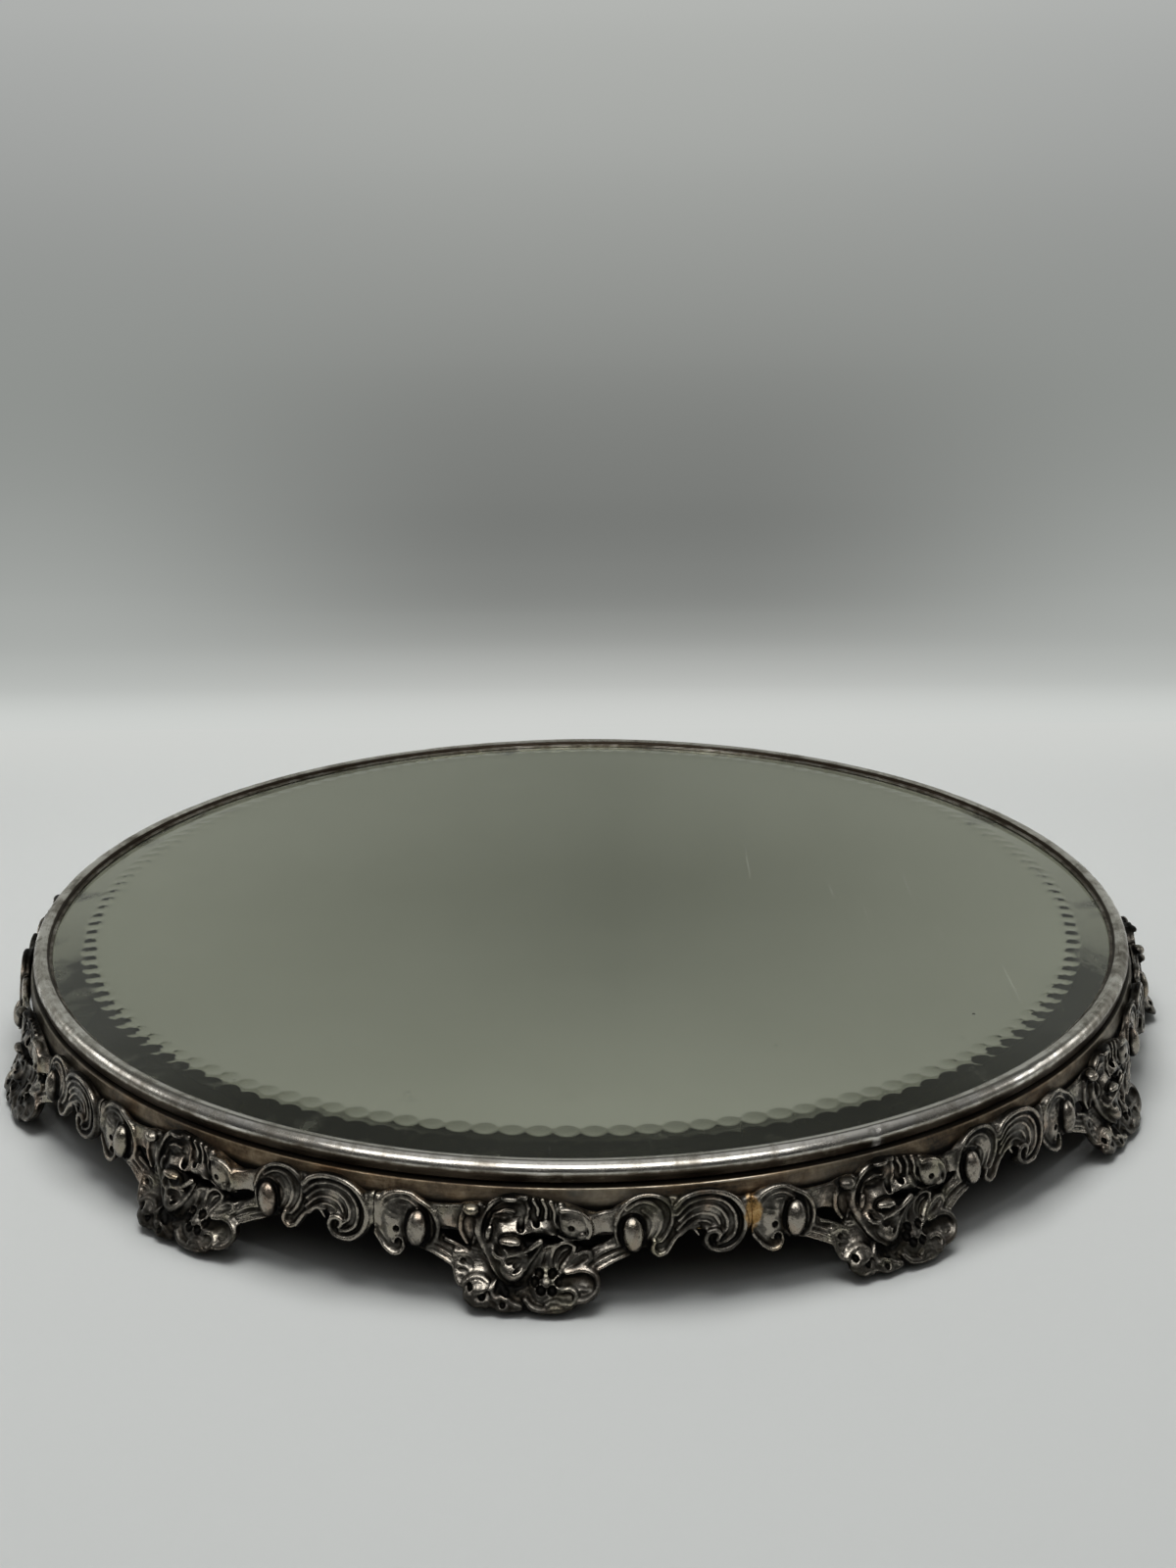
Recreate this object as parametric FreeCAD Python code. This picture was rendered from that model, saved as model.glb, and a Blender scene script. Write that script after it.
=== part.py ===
import FreeCAD, Part
import math
import os
from FreeCAD import Vector

# Mirrored cake turntable, millimetres, +Z up.
# Origin: on the spin axis, at the level of the surface the feet stand on.
# Angles are in degrees about +Z, from the -Y direction towards +X.

# ---- driving dimensions ----
R_BEAD = 203.0           # outer radius of the half-round rim of the deck
H_TOP = 40.6             # height of the crest of the rim above the table
N_CAST = 12              # gallery castings, one foot each
CAST_PITCH = 360.0 / N_CAST
FOOT_0 = -4.0            # angle of the first foot
BETWEEN_FEET = FOOT_0 + CAST_PITCH / 2

# deck
R_LIP = 196.3            # inner radius of the lip over the mirror
Z_LIP, Z_LIP_TOP = 38.0, 38.65
R_BEAD_I, Z_BEAD_I = 197.35, 39.45    # inner edge of the bead, standing on the lip
R_CREST = 199.9
Z_BEAD_UNDER = 34.4
R_SKIRT_O, R_SKIRT_I, Z_SKIRT = 199.9, 198.7, 24.9
R_MIRROR = 198.2
Z_MIRROR_BOT, Z_MIRROR_TOP, Z_MIRROR_EDGE = 35.5, 40.5, 37.5
R_BEVEL = 182.3          # where the bevel starts
R_FELT, Z_FELT = 197.6, 34.84
R_DECK_BOARD, Z_DECK_BOARD = 198.3, 24.34
N_RIM_PINS, Z_RIM_PIN, R_PIN, PIN_START = 12, 28.2, 0.8, 186.0

# base
R_BAND_I, R_BAND_O, R_BAND_NECK = 201.2, 204.7, 203.2
Z_BAND_BOT, Z_BAND_TOP = 20.0, 33.8
R_BASE_BOARD, Z_BASE_BOT, Z_BASE_TOP = 191.0, 10.4, 16.9
N_LUGS, R_LUG_SCREW = 6, 186.5
Z_LUG_BOT, Z_LUG_TOP = Z_BASE_TOP + 0.05, 17.85

# ball race
R_RACE_I, R_RACE_O, T_RACE = 100.0, 130.0, 2.0
R_PITCH = (R_RACE_I + R_RACE_O) / 2
R_BALL, N_BALLS, RACE_CLEAR = 2.5, 24, 0.05
Z_LOWER_TOP = Z_BASE_TOP + T_RACE
Z_UPPER_BOT = Z_DECK_BOARD - T_RACE
Z_BALL = (Z_LOWER_TOP + Z_UPPER_BOT) / 2
N_RACE_SCREWS, SCREW_INSET = 6, 4.0
R_LOWER_SCREW, R_UPPER_SCREW = R_RACE_I + SCREW_INSET, R_RACE_O - SCREW_INSET

# wood screws
R_SCREW, R_RACE_HEAD, R_LUG_HEAD = 1.5, 2.8, 3.0
R_PILOT, R_SCREW_CLEAR = 1.52, 1.7
SCREW_DEPTH, PILOT_DEPTH = 5.0, 5.1

# pivot
R_SHOULDER, R_SHANK = 4.0, 3.0
R_BUSH, R_BUSH_FLANGE = 6.0, 8.0
Z_FLANGE_BOT, Z_FLANGE_TOP = 27.02, 27.9
Z_PIVOT_WASHER = 9.2
Z_NUT, R_NUT = 4.2, 5.77     # underside and corner radius of the nut

# casting, described about its foot at angle 0
R_CAST_I, R_CAST_O = 204.75, 206.7
Z_APRON_BOT, Z_APRON_TOP = 16.0, 29.2
JOINT_LEFT = -12.2       # joint line to the left of the foot
JOINT_RIGHT = JOINT_LEFT + CAST_PITCH
SEAM_GAP = 0.05          # half of the solder gap at each joint, degrees

# Round openings in the apron: angle, z, radius
OPENINGS = [
    (12.6, 14.6, 3.2),       # arch between the small curl and the big scroll
    (18.6, 15.0, 3.4),       # open end at the right-hand joint
    (-12.9, 15.0, 3.4),      # open end at the left-hand joint
    (-5.9, 18.6, 1.9),       # piercing left of the foot
    (5.9, 18.8, 1.9),        # piercing right of the foot
]
# Round pads standing out from the apron: angle, z, radius, outer end
PADS = [
    (-10.2, 26.0, 5.6, 207.7),   # leaf hood, left
    (-10.6, 15.0, 3.4, 207.7),   # leaf curl, left
    (9.3, 26.0, 5.6, 207.7),     # leaf hood, right
    (10.4, 16.4, 3.0, 207.7),    # leaf curl, right
    (-1.4, 26.0, 6.2, 208.7),    # arch above the foot
    (3.2, 25.2, 4.4, 208.9),     # shell above the foot
    (-4.4, 26.0, 3.2, 208.7),    # knob stem
]
# Ring-shaped scrolls: angle, distance from the axis, z, ring radius
SCROLLS = [
    (13.9, 207.4, 25.4, 4.6),    # crown of the big scroll
    (15.2, 207.6, 17.6, 3.3),    # eye of the big scroll
]
R_SCROLL_WIRE = 1.9
# Drop-shaped bosses
BOSS_ANGLES = (-8.5, 8.3)
BOSS_DISTANCE, R_BOSS, Z_BOSS_BOT, Z_BOSS_TOP = 207.6, 2.9, 17.6, 24.2
# Section of the neck that leans out from the apron to the flower: distance, z
NECK = [
    (R_CAST_I, 10.5), (212.6, 4.0), (213.8, 9.0),
    (208.2, 20.0), (207.6, 28.6), (R_CAST_I, 28.6),
]
NECK_HALF_ANGLE = 4.4

# flower
FLOWER_ANGLE, FLOWER_DISTANCE, FLOWER_Z = 0.6, 211.6, 7.6
FLOWER_TILT = 42.0       # of its axis above the horizontal
N_PETALS, PETAL_DISTANCE, R_PETAL, T_PETAL = 9, 11.6, 4.6, 3.2
N_PITS, PIT_DISTANCE, R_PIT = 6, 2.2, 0.7

ORIGIN = Vector(0, 0, 0)
UP = Vector(0, 0, 1)


def spaced(count, first=0.0):
    return [first + 360.0 / count * i for i in range(count)]


def outward(angle):
    """Horizontal unit vector away from the spin axis."""
    turned = math.radians(angle)
    return Vector(math.sin(turned), -math.cos(turned), 0)


def place(angle, distance, z):
    return outward(angle) * distance + Vector(0, 0, z)


def turn(shape, angle):
    turned = shape.copy()
    turned.rotate(ORIGIN, UP, angle)
    return turned


def profile(start, *steps):
    """Closed face in the plane above -Y, from points (distance, z).

    A step is the end of a line, or (through, end) of an arc.
    """
    def point(pair):
        return Vector(0, -pair[0], pair[1])

    edges, here = [], start
    for step in steps:
        if isinstance(step[0], tuple):
            through, end = step
            edges.append(Part.Arc(point(here), point(through), point(end)).toShape())
        else:
            end = step
            edges.append(Part.makeLine(point(here), point(end)))
        here = end
    edges.append(Part.makeLine(point(here), point(start)))
    return Part.Face(Part.Wire(edges))


def ring(start, *steps):
    return profile(start, *steps).revolve(ORIGIN, UP, 360)


def sweep(face, first, last):
    """Solid swept about the spin axis between two angles."""
    return turn(face, first).revolve(ORIGIN, UP, last - first)


def sector(inner, outer, bottom, top, first, last):
    face = profile((inner, bottom), (outer, bottom), (outer, top), (inner, top))
    return sweep(face, first, last)


def disc(radius, bottom, top, hole=0.0):
    solid = Part.makeCylinder(radius, top - bottom, Vector(0, 0, bottom))
    if hole:
        solid = solid.cut(Part.makeCylinder(hole, top - bottom + 2, Vector(0, 0, bottom - 1)))
    return solid


def bar(angle, z, radius, start, end):
    """Round bar along the outward direction."""
    return Part.makeCylinder(radius, end - start, place(angle, start, z), outward(angle))


def bars(angles, *sizes):
    return [bar(angle, *sizes) for angle in angles]


def post(angle, distance, radius, bottom, top):
    return Part.makeCylinder(radius, top - bottom, place(angle, distance, bottom))


def posts(angles, *sizes):
    return [post(angle, *sizes) for angle in angles]


def ball(angle, distance, z, radius):
    return Part.makeSphere(radius, place(angle, distance, z))


def fuse(shapes):
    return shapes[0].multiFuse(shapes[1:]).removeSplitter()


def cut_all(shape, tools):
    return shape.cut(Part.makeCompound(tools))


def export(name, shape):
    solids = shape.Solids
    assert solids and all(s.isValid() and s.Volume > 0 for s in solids), name
    out = solids[0] if len(solids) == 1 else Part.makeCompound(solids)
    out.exportStep("parts/%s.step" % name)


def export_screws(name, angles, distance, head, shank):
    """Upright screws; head is (radius, bottom, top), shank is (bottom, top)."""
    screws = [
        fuse([post(angle, distance, *head), post(angle, distance, R_SCREW, *shank)])
        for angle in angles
    ]
    export(name, Part.makeCompound(screws))


os.makedirs("parts", exist_ok=True)
pin_angles = spaced(N_RIM_PINS, BETWEEN_FEET)
lug_angles = spaced(N_LUGS, BETWEEN_FEET)
lower_angles = spaced(N_RACE_SCREWS)
upper_angles = spaced(N_RACE_SCREWS, 180.0 / N_RACE_SCREWS)
ball_angles = spaced(N_BALLS)

# ================= deck: turns about +Z =================

# Half-round rim with a lip over the mirror and a skirt round the deck board.
rim = ring(
    (R_LIP, Z_LIP),
    (R_LIP, Z_LIP_TOP), (R_BEAD_I, Z_LIP_TOP), (R_BEAD_I, Z_BEAD_I),
    ((R_CREST - 1.5, H_TOP - 0.32), (R_CREST, H_TOP)),
    ((R_CREST + 2.19, H_TOP - 1.0), (R_BEAD, H_TOP - 3.4)),
    ((R_BEAD - 0.12, H_TOP - 4.9), (R_BEAD - 0.6, Z_BEAD_UNDER)),
    (R_SKIRT_O, Z_BEAD_UNDER), (R_SKIRT_O, Z_SKIRT),
    (R_SKIRT_I, Z_SKIRT), (R_SKIRT_I, Z_LIP),
)
export("rim_bead", cut_all(rim, bars(pin_angles, Z_RIM_PIN, R_PIN + 0.1, 190, 202)))

mirror = ring(
    (0.0, Z_MIRROR_BOT), (R_MIRROR, Z_MIRROR_BOT), (R_MIRROR, Z_MIRROR_EDGE),
    (R_BEVEL, Z_MIRROR_TOP), (0.0, Z_MIRROR_TOP),
)
export("mirror", mirror)
export("mirror_felt", disc(R_FELT, Z_FELT, Z_MIRROR_BOT))

# Deck board: stepped hole for the bush, pin holes in its edge, pilot holes below.
board = disc(R_DECK_BOARD, Z_DECK_BOARD, Z_FELT)
board = board.cut(disc(R_BUSH_FLANGE + 1.0, Z_FLANGE_BOT - 0.02, Z_FELT + 1))
board = board.cut(disc(R_BUSH + 0.02, Z_DECK_BOARD - 1, 28))
board = cut_all(board, bars(pin_angles, Z_RIM_PIN, R_PIN + 0.02, PIN_START - 0.1, 202))
pilots = posts(
    upper_angles, R_UPPER_SCREW, R_PILOT, Z_DECK_BOARD - 1, Z_DECK_BOARD + PILOT_DEPTH
)
export("deck_board", cut_all(board, pilots))

# Headed pins through the skirt into the edge of the deck board.
pins = [
    fuse([
        bar(angle, Z_RIM_PIN, R_PIN, PIN_START, R_SKIRT_O + 0.3),
        bar(angle, Z_RIM_PIN, 1.5, R_SKIRT_O + 0.02, R_SKIRT_O + 0.55),
    ])
    for angle in pin_angles
]
export("rim_pins", Part.makeCompound(pins))

# Flanged bush in the deck board and a washer on it, both round the pivot.
bush = disc(R_BUSH, Z_DECK_BOARD, Z_FLANGE_BOT, R_SHOULDER + 0.05).fuse(
    disc(R_BUSH_FLANGE, Z_FLANGE_BOT, Z_FLANGE_TOP, R_SHOULDER + 0.05)
)
export("pivot_bush", bush.removeSplitter())
export("thrust_washer", disc(7.4, Z_FLANGE_TOP + 0.02, 28.7, R_SHOULDER + 0.1))


def race(bottom, top, angles, screw_distance):
    """Flat ring with a ball groove and screw holes."""
    groove = Part.makeTorus(R_PITCH, R_BALL + RACE_CLEAR, Vector(0, 0, Z_BALL))
    grooved = disc(R_RACE_O, bottom, top, R_RACE_I).cut(groove)
    return cut_all(grooved, posts(angles, screw_distance, R_SCREW_CLEAR, bottom - 1, top + 1))


export("upper_race", race(Z_UPPER_BOT, Z_DECK_BOARD, upper_angles, R_UPPER_SCREW))
export_screws(
    "upper_race_screws", upper_angles, R_UPPER_SCREW,
    head=(R_RACE_HEAD, Z_UPPER_BOT - 1.1, Z_UPPER_BOT - 0.01),
    shank=(Z_UPPER_BOT - 0.5, Z_DECK_BOARD + SCREW_DEPTH),
)

# ========= ball cage: turns at half the speed of the deck =========
cage = disc(R_PITCH + 6.5, Z_BALL - 0.7, Z_BALL + 0.7, R_PITCH - 6.5)
pockets = posts(ball_angles, R_PITCH, R_BALL + 0.08, Z_BALL - 2, Z_BALL + 2)
export("ball_cage", cut_all(cage, pockets))
balls = [ball(angle, R_PITCH, Z_BALL, R_BALL) for angle in ball_angles]
export("race_balls", Part.makeCompound(balls))

# ================= base: stands on the feet =================

# Band: plain wall behind the castings, rounded shoulder drawn in below the rim.
band = ring(
    (R_BAND_I, Z_BAND_BOT), (R_BAND_O, Z_BAND_BOT), (R_BAND_O, 28.6),
    ((R_BAND_O - 0.2, 31.2), (R_BAND_O - 0.9, Z_BAND_TOP - 0.5)),
    (R_BAND_NECK, Z_BAND_TOP), (R_BAND_I, Z_BAND_TOP),
)
export("gallery_band", band)

export("lower_race", race(Z_BASE_TOP, Z_LOWER_TOP, lower_angles, R_LOWER_SCREW))
export_screws(
    "lower_race_screws", lower_angles, R_LOWER_SCREW,
    head=(R_RACE_HEAD, Z_LOWER_TOP + 0.01, Z_LOWER_TOP + 1.1),
    shank=(Z_BASE_TOP - SCREW_DEPTH, Z_LOWER_TOP + 0.5),
)

base_board = disc(R_BASE_BOARD, Z_BASE_BOT, Z_BASE_TOP, R_SHANK + 0.1)
pilot_span = (Z_BASE_TOP - PILOT_DEPTH, Z_BASE_TOP + 1)
pilots = posts(lower_angles, R_LOWER_SCREW, R_PILOT, *pilot_span)
pilots += posts(lug_angles, R_LUG_SCREW, R_PILOT, *pilot_span)
export("base_board", cut_all(base_board, pilots))


def board_lug(angle):
    """Bent lug inside the band that the base board hangs from."""
    outer = R_BAND_I - 0.05
    span = (angle - 2.2, angle + 2.2)
    leg = sector(200.3, outer, Z_LUG_BOT, 24.0, *span)
    foot = sector(182.5, outer, Z_LUG_BOT, Z_LUG_TOP, *span)
    lug = leg.fuse(foot).removeSplitter()
    return lug.cut(post(angle, R_LUG_SCREW, R_SCREW_CLEAR, 15, 20))


export("board_lugs", Part.makeCompound([board_lug(angle) for angle in lug_angles]))
export_screws(
    "lug_screws", lug_angles, R_LUG_SCREW,
    head=(R_LUG_HEAD, Z_LUG_TOP + 0.02, 19.2),
    shank=(Z_BASE_TOP - SCREW_DEPTH, 18.4),
)

# Shouldered pivot bolt with a slotted head that keeps the deck down.
bolt = fuse([
    disc(6.4, 28.8, 31.3),
    disc(R_SHOULDER, Z_BASE_TOP + 0.01, 29.0),
    disc(R_SHANK, 3.4, 20.0),
])
slot = Part.makeBox(14, 1.4, 1.2, Vector(-7, -0.7, 30.3))
export("pivot_bolt", bolt.cut(slot))
export("pivot_washer", disc(8.0, Z_PIVOT_WASHER, Z_BASE_BOT - 0.01, R_SHANK + 0.1))
corners = [math.radians(60 * i) for i in range(7)]
hexagon = Part.makePolygon(
    [Vector(R_NUT * math.cos(turned), R_NUT * math.sin(turned), Z_NUT) for turned in corners]
)
nut = Part.Face(hexagon).extrude(Vector(0, 0, Z_PIVOT_WASHER - 0.02 - Z_NUT))
export("pivot_nut", nut.cut(disc(R_SHANK + 0.03, 3, 10)))

# ================= gallery castings =================


def make_flower():
    """Open flower, its face tilted up and outwards."""
    tilt = math.radians(FLOWER_TILT)
    out = outward(FLOWER_ANGLE)
    side = Vector(-out.y, out.x, 0)
    normal = out * math.cos(tilt) + UP * math.sin(tilt)
    rise = normal.cross(side)
    centre = place(FLOWER_ANGLE, FLOWER_DISTANCE, FLOWER_Z)

    def across(turned):
        """Unit vector in the plane of the flower."""
        return side * math.cos(turned) + rise * math.sin(turned)

    flower = Part.makeCone(9.0, 13.2, 5.0, centre - normal * 4.6, normal)
    for i in range(N_PETALS):
        petal = centre + across(2 * math.pi * (i + 0.5) / N_PETALS) * PETAL_DISTANCE
        flower = flower.fuse(
            Part.makeCylinder(R_PETAL, T_PETAL, petal - normal * 2.4, normal)
        )
    # Dished face with a round centre, pitted on top.
    flower = flower.cut(Part.makeCone(4.0, 11.0, 2.6, centre - normal * 0.9, normal))
    flower = flower.fuse(Part.makeSphere(3.6, centre - normal * 0.4))
    pits = [
        Part.makeSphere(
            R_PIT, centre + across(2 * math.pi * i / N_PITS) * PIT_DISTANCE + normal * 2.5
        )
        for i in range(N_PITS)
    ]
    return cut_all(flower, pits)


def make_casting():
    """One casting with its flower foot at angle 0."""
    apron = sector(
        R_CAST_I, R_CAST_O, Z_APRON_BOT, Z_APRON_TOP,
        JOINT_LEFT + SEAM_GAP, JOINT_RIGHT - SEAM_GAP,
    )
    pieces = [cut_all(apron, [bar(*opening, 195, 215) for opening in OPENINGS])]
    for angle, z, radius, end in PADS:
        pieces.append(bar(angle, z, radius, R_CAST_I, end))
    pieces.append(ball(-4.4, 208.9, 27.2, 1.9))      # knob
    pieces.append(ball(3.6, 209.2, 26.6, 2.3))       # end of the shell leaf
    for angle, distance, z, radius in SCROLLS:
        centre = place(angle, distance, z)
        pieces.append(Part.makeTorus(radius, R_SCROLL_WIRE, centre, outward(angle)))
    pieces.append(ball(15.2, 207.8, 17.6, 2.0))      # centre of the scroll eye
    for angle in BOSS_ANGLES:
        pieces.append(post(angle, BOSS_DISTANCE, R_BOSS, Z_BOSS_BOT, Z_BOSS_TOP))
        pieces.append(ball(angle, BOSS_DISTANCE, Z_BOSS_BOT, R_BOSS))
        pieces.append(ball(angle, BOSS_DISTANCE, Z_BOSS_TOP, R_BOSS))
    pieces.append(sweep(profile(*NECK), -NECK_HALF_ANGLE, NECK_HALF_ANGLE))
    pieces.append(ball(-1.0, 209.6, 15.5, 4.2))      # bud on the neck
    pieces.append(make_flower())

    # Keep what is above the table and outside the band.
    keep = Part.makeBox(160, 60, 40, Vector(-80, -240, 0)).cut(
        Part.makeCylinder(R_CAST_I, 60, Vector(0, 0, -5))
    )
    # The largest solid is the casting; anything else may only be a crumb.
    solids = sorted(fuse(pieces).common(keep).Solids, key=lambda s: -s.Volume)
    assert len(solids) == 1 or solids[1].Volume < 1.0
    return solids[0]


casting = make_casting()
for number, angle in enumerate(spaced(N_CAST, FOOT_0), 1):
    export("gallery_casting_%02d" % number, turn(casting, angle))
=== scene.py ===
# A round mirror stand: a bevelled mirror in a silver rim on a deck, over a base whose band
# carries a ring of pierced castings. Its axis is +Z and it stands on z = 0; the camera is
# at -Y and looks along +Y. Shapes are drawn in millimetres and built in metres.
import itertools
import math

import bpy
import numpy as np
from mathutils import Matrix, Vector


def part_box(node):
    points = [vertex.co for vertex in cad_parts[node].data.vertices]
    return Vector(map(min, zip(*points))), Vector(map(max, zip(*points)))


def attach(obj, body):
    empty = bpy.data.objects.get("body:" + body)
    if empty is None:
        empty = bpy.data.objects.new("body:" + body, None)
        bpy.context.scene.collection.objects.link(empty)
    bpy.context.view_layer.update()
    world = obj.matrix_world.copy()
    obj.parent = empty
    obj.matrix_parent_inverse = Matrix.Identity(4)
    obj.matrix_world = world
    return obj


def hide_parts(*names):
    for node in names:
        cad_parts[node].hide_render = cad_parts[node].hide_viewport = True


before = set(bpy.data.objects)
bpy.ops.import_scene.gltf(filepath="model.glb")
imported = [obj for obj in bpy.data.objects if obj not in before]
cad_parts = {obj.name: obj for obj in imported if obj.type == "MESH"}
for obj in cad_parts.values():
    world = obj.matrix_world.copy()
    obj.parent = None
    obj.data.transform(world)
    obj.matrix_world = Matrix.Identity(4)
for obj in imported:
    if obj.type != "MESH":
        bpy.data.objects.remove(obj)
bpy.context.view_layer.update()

# ---------------------------------------------------------------- sizes, mm
bead_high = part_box("rim_bead")[1] * 1000
band_low, band_high = (corner * 1000 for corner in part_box("gallery_band"))
glass_low, glass_high = (corner * 1000 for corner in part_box("mirror"))
BEAD_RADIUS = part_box("rim_bead")[1].x * 1000
BEAD_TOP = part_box("rim_bead")[1].z * 1000
BAND_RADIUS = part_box("gallery_band")[1].x * 1000
BAND_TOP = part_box("gallery_band")[1].z * 1000
BAND_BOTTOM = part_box("gallery_band")[0].z * 1000
GLASS_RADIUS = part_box("mirror")[1].x * 1000
GLASS_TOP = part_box("mirror")[1].z * 1000
GLASS_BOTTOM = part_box("mirror")[0].z * 1000
RING_SEGMENTS = 1080         # of the rim and the band

CASTING_COUNT = sum(name.startswith("gallery_casting_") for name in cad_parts)
FOOT_ANGLE = -4.0            # of the first casting's foot, degrees from -Y
PITCH = 360.0 / CASTING_COUNT
START_ANGLE = -12.5          # of a casting's left end, degrees from its foot
BACK_RADIUS = 204.82         # back plane of the castings
TRUE_RADIUS = 207.0          # radius at which distances along a casting are true
LEFT_END = math.radians(START_ANGLE) * TRUE_RADIUS
RIGHT_END = math.radians(START_ANGLE + PITCH) * TRUE_RADIUS
GRID_STEP = 0.33
# amount of solder at the left-hand joint of each casting
SOLDER = [0.35, 1.0, 0.3, 0.45, 0.25, 0.6, 0.3, 0.5, 0.8, 0.3, 0.55, 0.25]

# ---------------------------------------------------------------- the casting's drawing
# "along" runs round the band from the foot's centre, z is height, and "lift" is height over
# the back plane of the leaning sheet.

# Outlines: (along, z)
SHEET = [
    (-46.23,19.31),(-46.77,26.07),(-46.23,28.21),(-44.31,29.28),(-42.0,30.56),(-38.54,31.56),
    (-34.69,31.41),(-32.0,29.85),(-29.69,28.56),(-27.0,28.21),(-23.15,28.56),(-20.08,28.92),
    (-17.77,29.77),(-14.69,29.99),(-12.38,29.42),(-10.85,30.7),(-8.54,32.27),(-4.69,33.19),
    (-0.46,32.62),(3.77,31.98),(8.38,31.27),(12.62,29.63),(16.08,28.21),(19.15,27.71),
    (23.0,28.21),(25.31,29.63),(28.0,31.41),(31.46,32.84),(35.31,32.7),(38.77,31.56),
    (42.23,31.77),(44.92,32.7),(48.77,32.98),(52.62,32.7),(56.08,31.56),(59.15,29.42),
    (62.23,28.56),(63.23,27.49),(63.23,21.44),(62.38,19.31),(60.69,16.49),(58.0,14.41),
    (54.54,13.65),(50.69,14.24),(48.54,16.35),(48.77,18.96),(49.92,20.59),(47.23,21.44),
    (44.92,21.3),(42.23,19.31),(40.31,16.15),(38.38,14.24),(36.08,13.94),(34.23,15.48),
    (33.0,16.84),(30.69,15.81),(27.62,15.48),(24.54,14.53),(20.69,13.08),(19.15,11.66),
    (16.08,10.53),(0.69,8.84),(-11.62,9.97),(-17.77,10.53),(-22.0,12.79),(-25.46,14.24),
    (-28.54,15.03),(-32.38,15.28),(-34.69,16.35),(-35.85,15.48),(-36.62,13.37),
    (-39.31,12.34),(-42.0,13.94),(-44.54,17.05),
]
HOLES = [
    ((-25.62,21.44),(-23.15,21.65),(-20.85,21.3),(-18.92,19.66),(-17.38,17.05),
     (-18.92,16.84),(-21.62,17.89),(-23.92,19.17),(-25.46,20.38)),
    ((13.38,18.96),(17.23,21.01),(20.69,21.44),(23.38,21.3),(23.0,19.88),(20.31,18.25),
     (17.23,17.47),(14.54,17.89)),
    ((-2.23,21.73),(0.69,22.58),(5.31,22.01),(9.92,21.16),(13.38,20.38),(13.38,18.96),
     (9.15,18.96),(3.77,19.88),(-0.46,20.16)),
]
FOOT = [
    (-21.27,16.53),(-21.27,14.63),(-20.93,12.39),(-20.76,9.66),(-19.76,7.21),(-17.91,5.58),
    (-16.23,3.41),(-14.22,2.59),(-11.87,2.73),(-10.19,3.0),(-8.84,1.99),(-5.49,1.5),
    (-2.13,1.72),(-0.45,1.72),(2.57,1.18),(6.94,1.18),(10.3,1.5),(12.65,2.73),(14.32,3.81),
    (17.01,4.63),(18.86,6.26),(19.7,8.3),(19.53,10.75),(18.69,12.66),(17.68,14.63),
    (16.67,16.53),(12.65,18.57),(8.28,19.6),(3.24,19.6),(-3.47,19.26),(-10.19,19.26),
    (-16.9,17.89),
]

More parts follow.
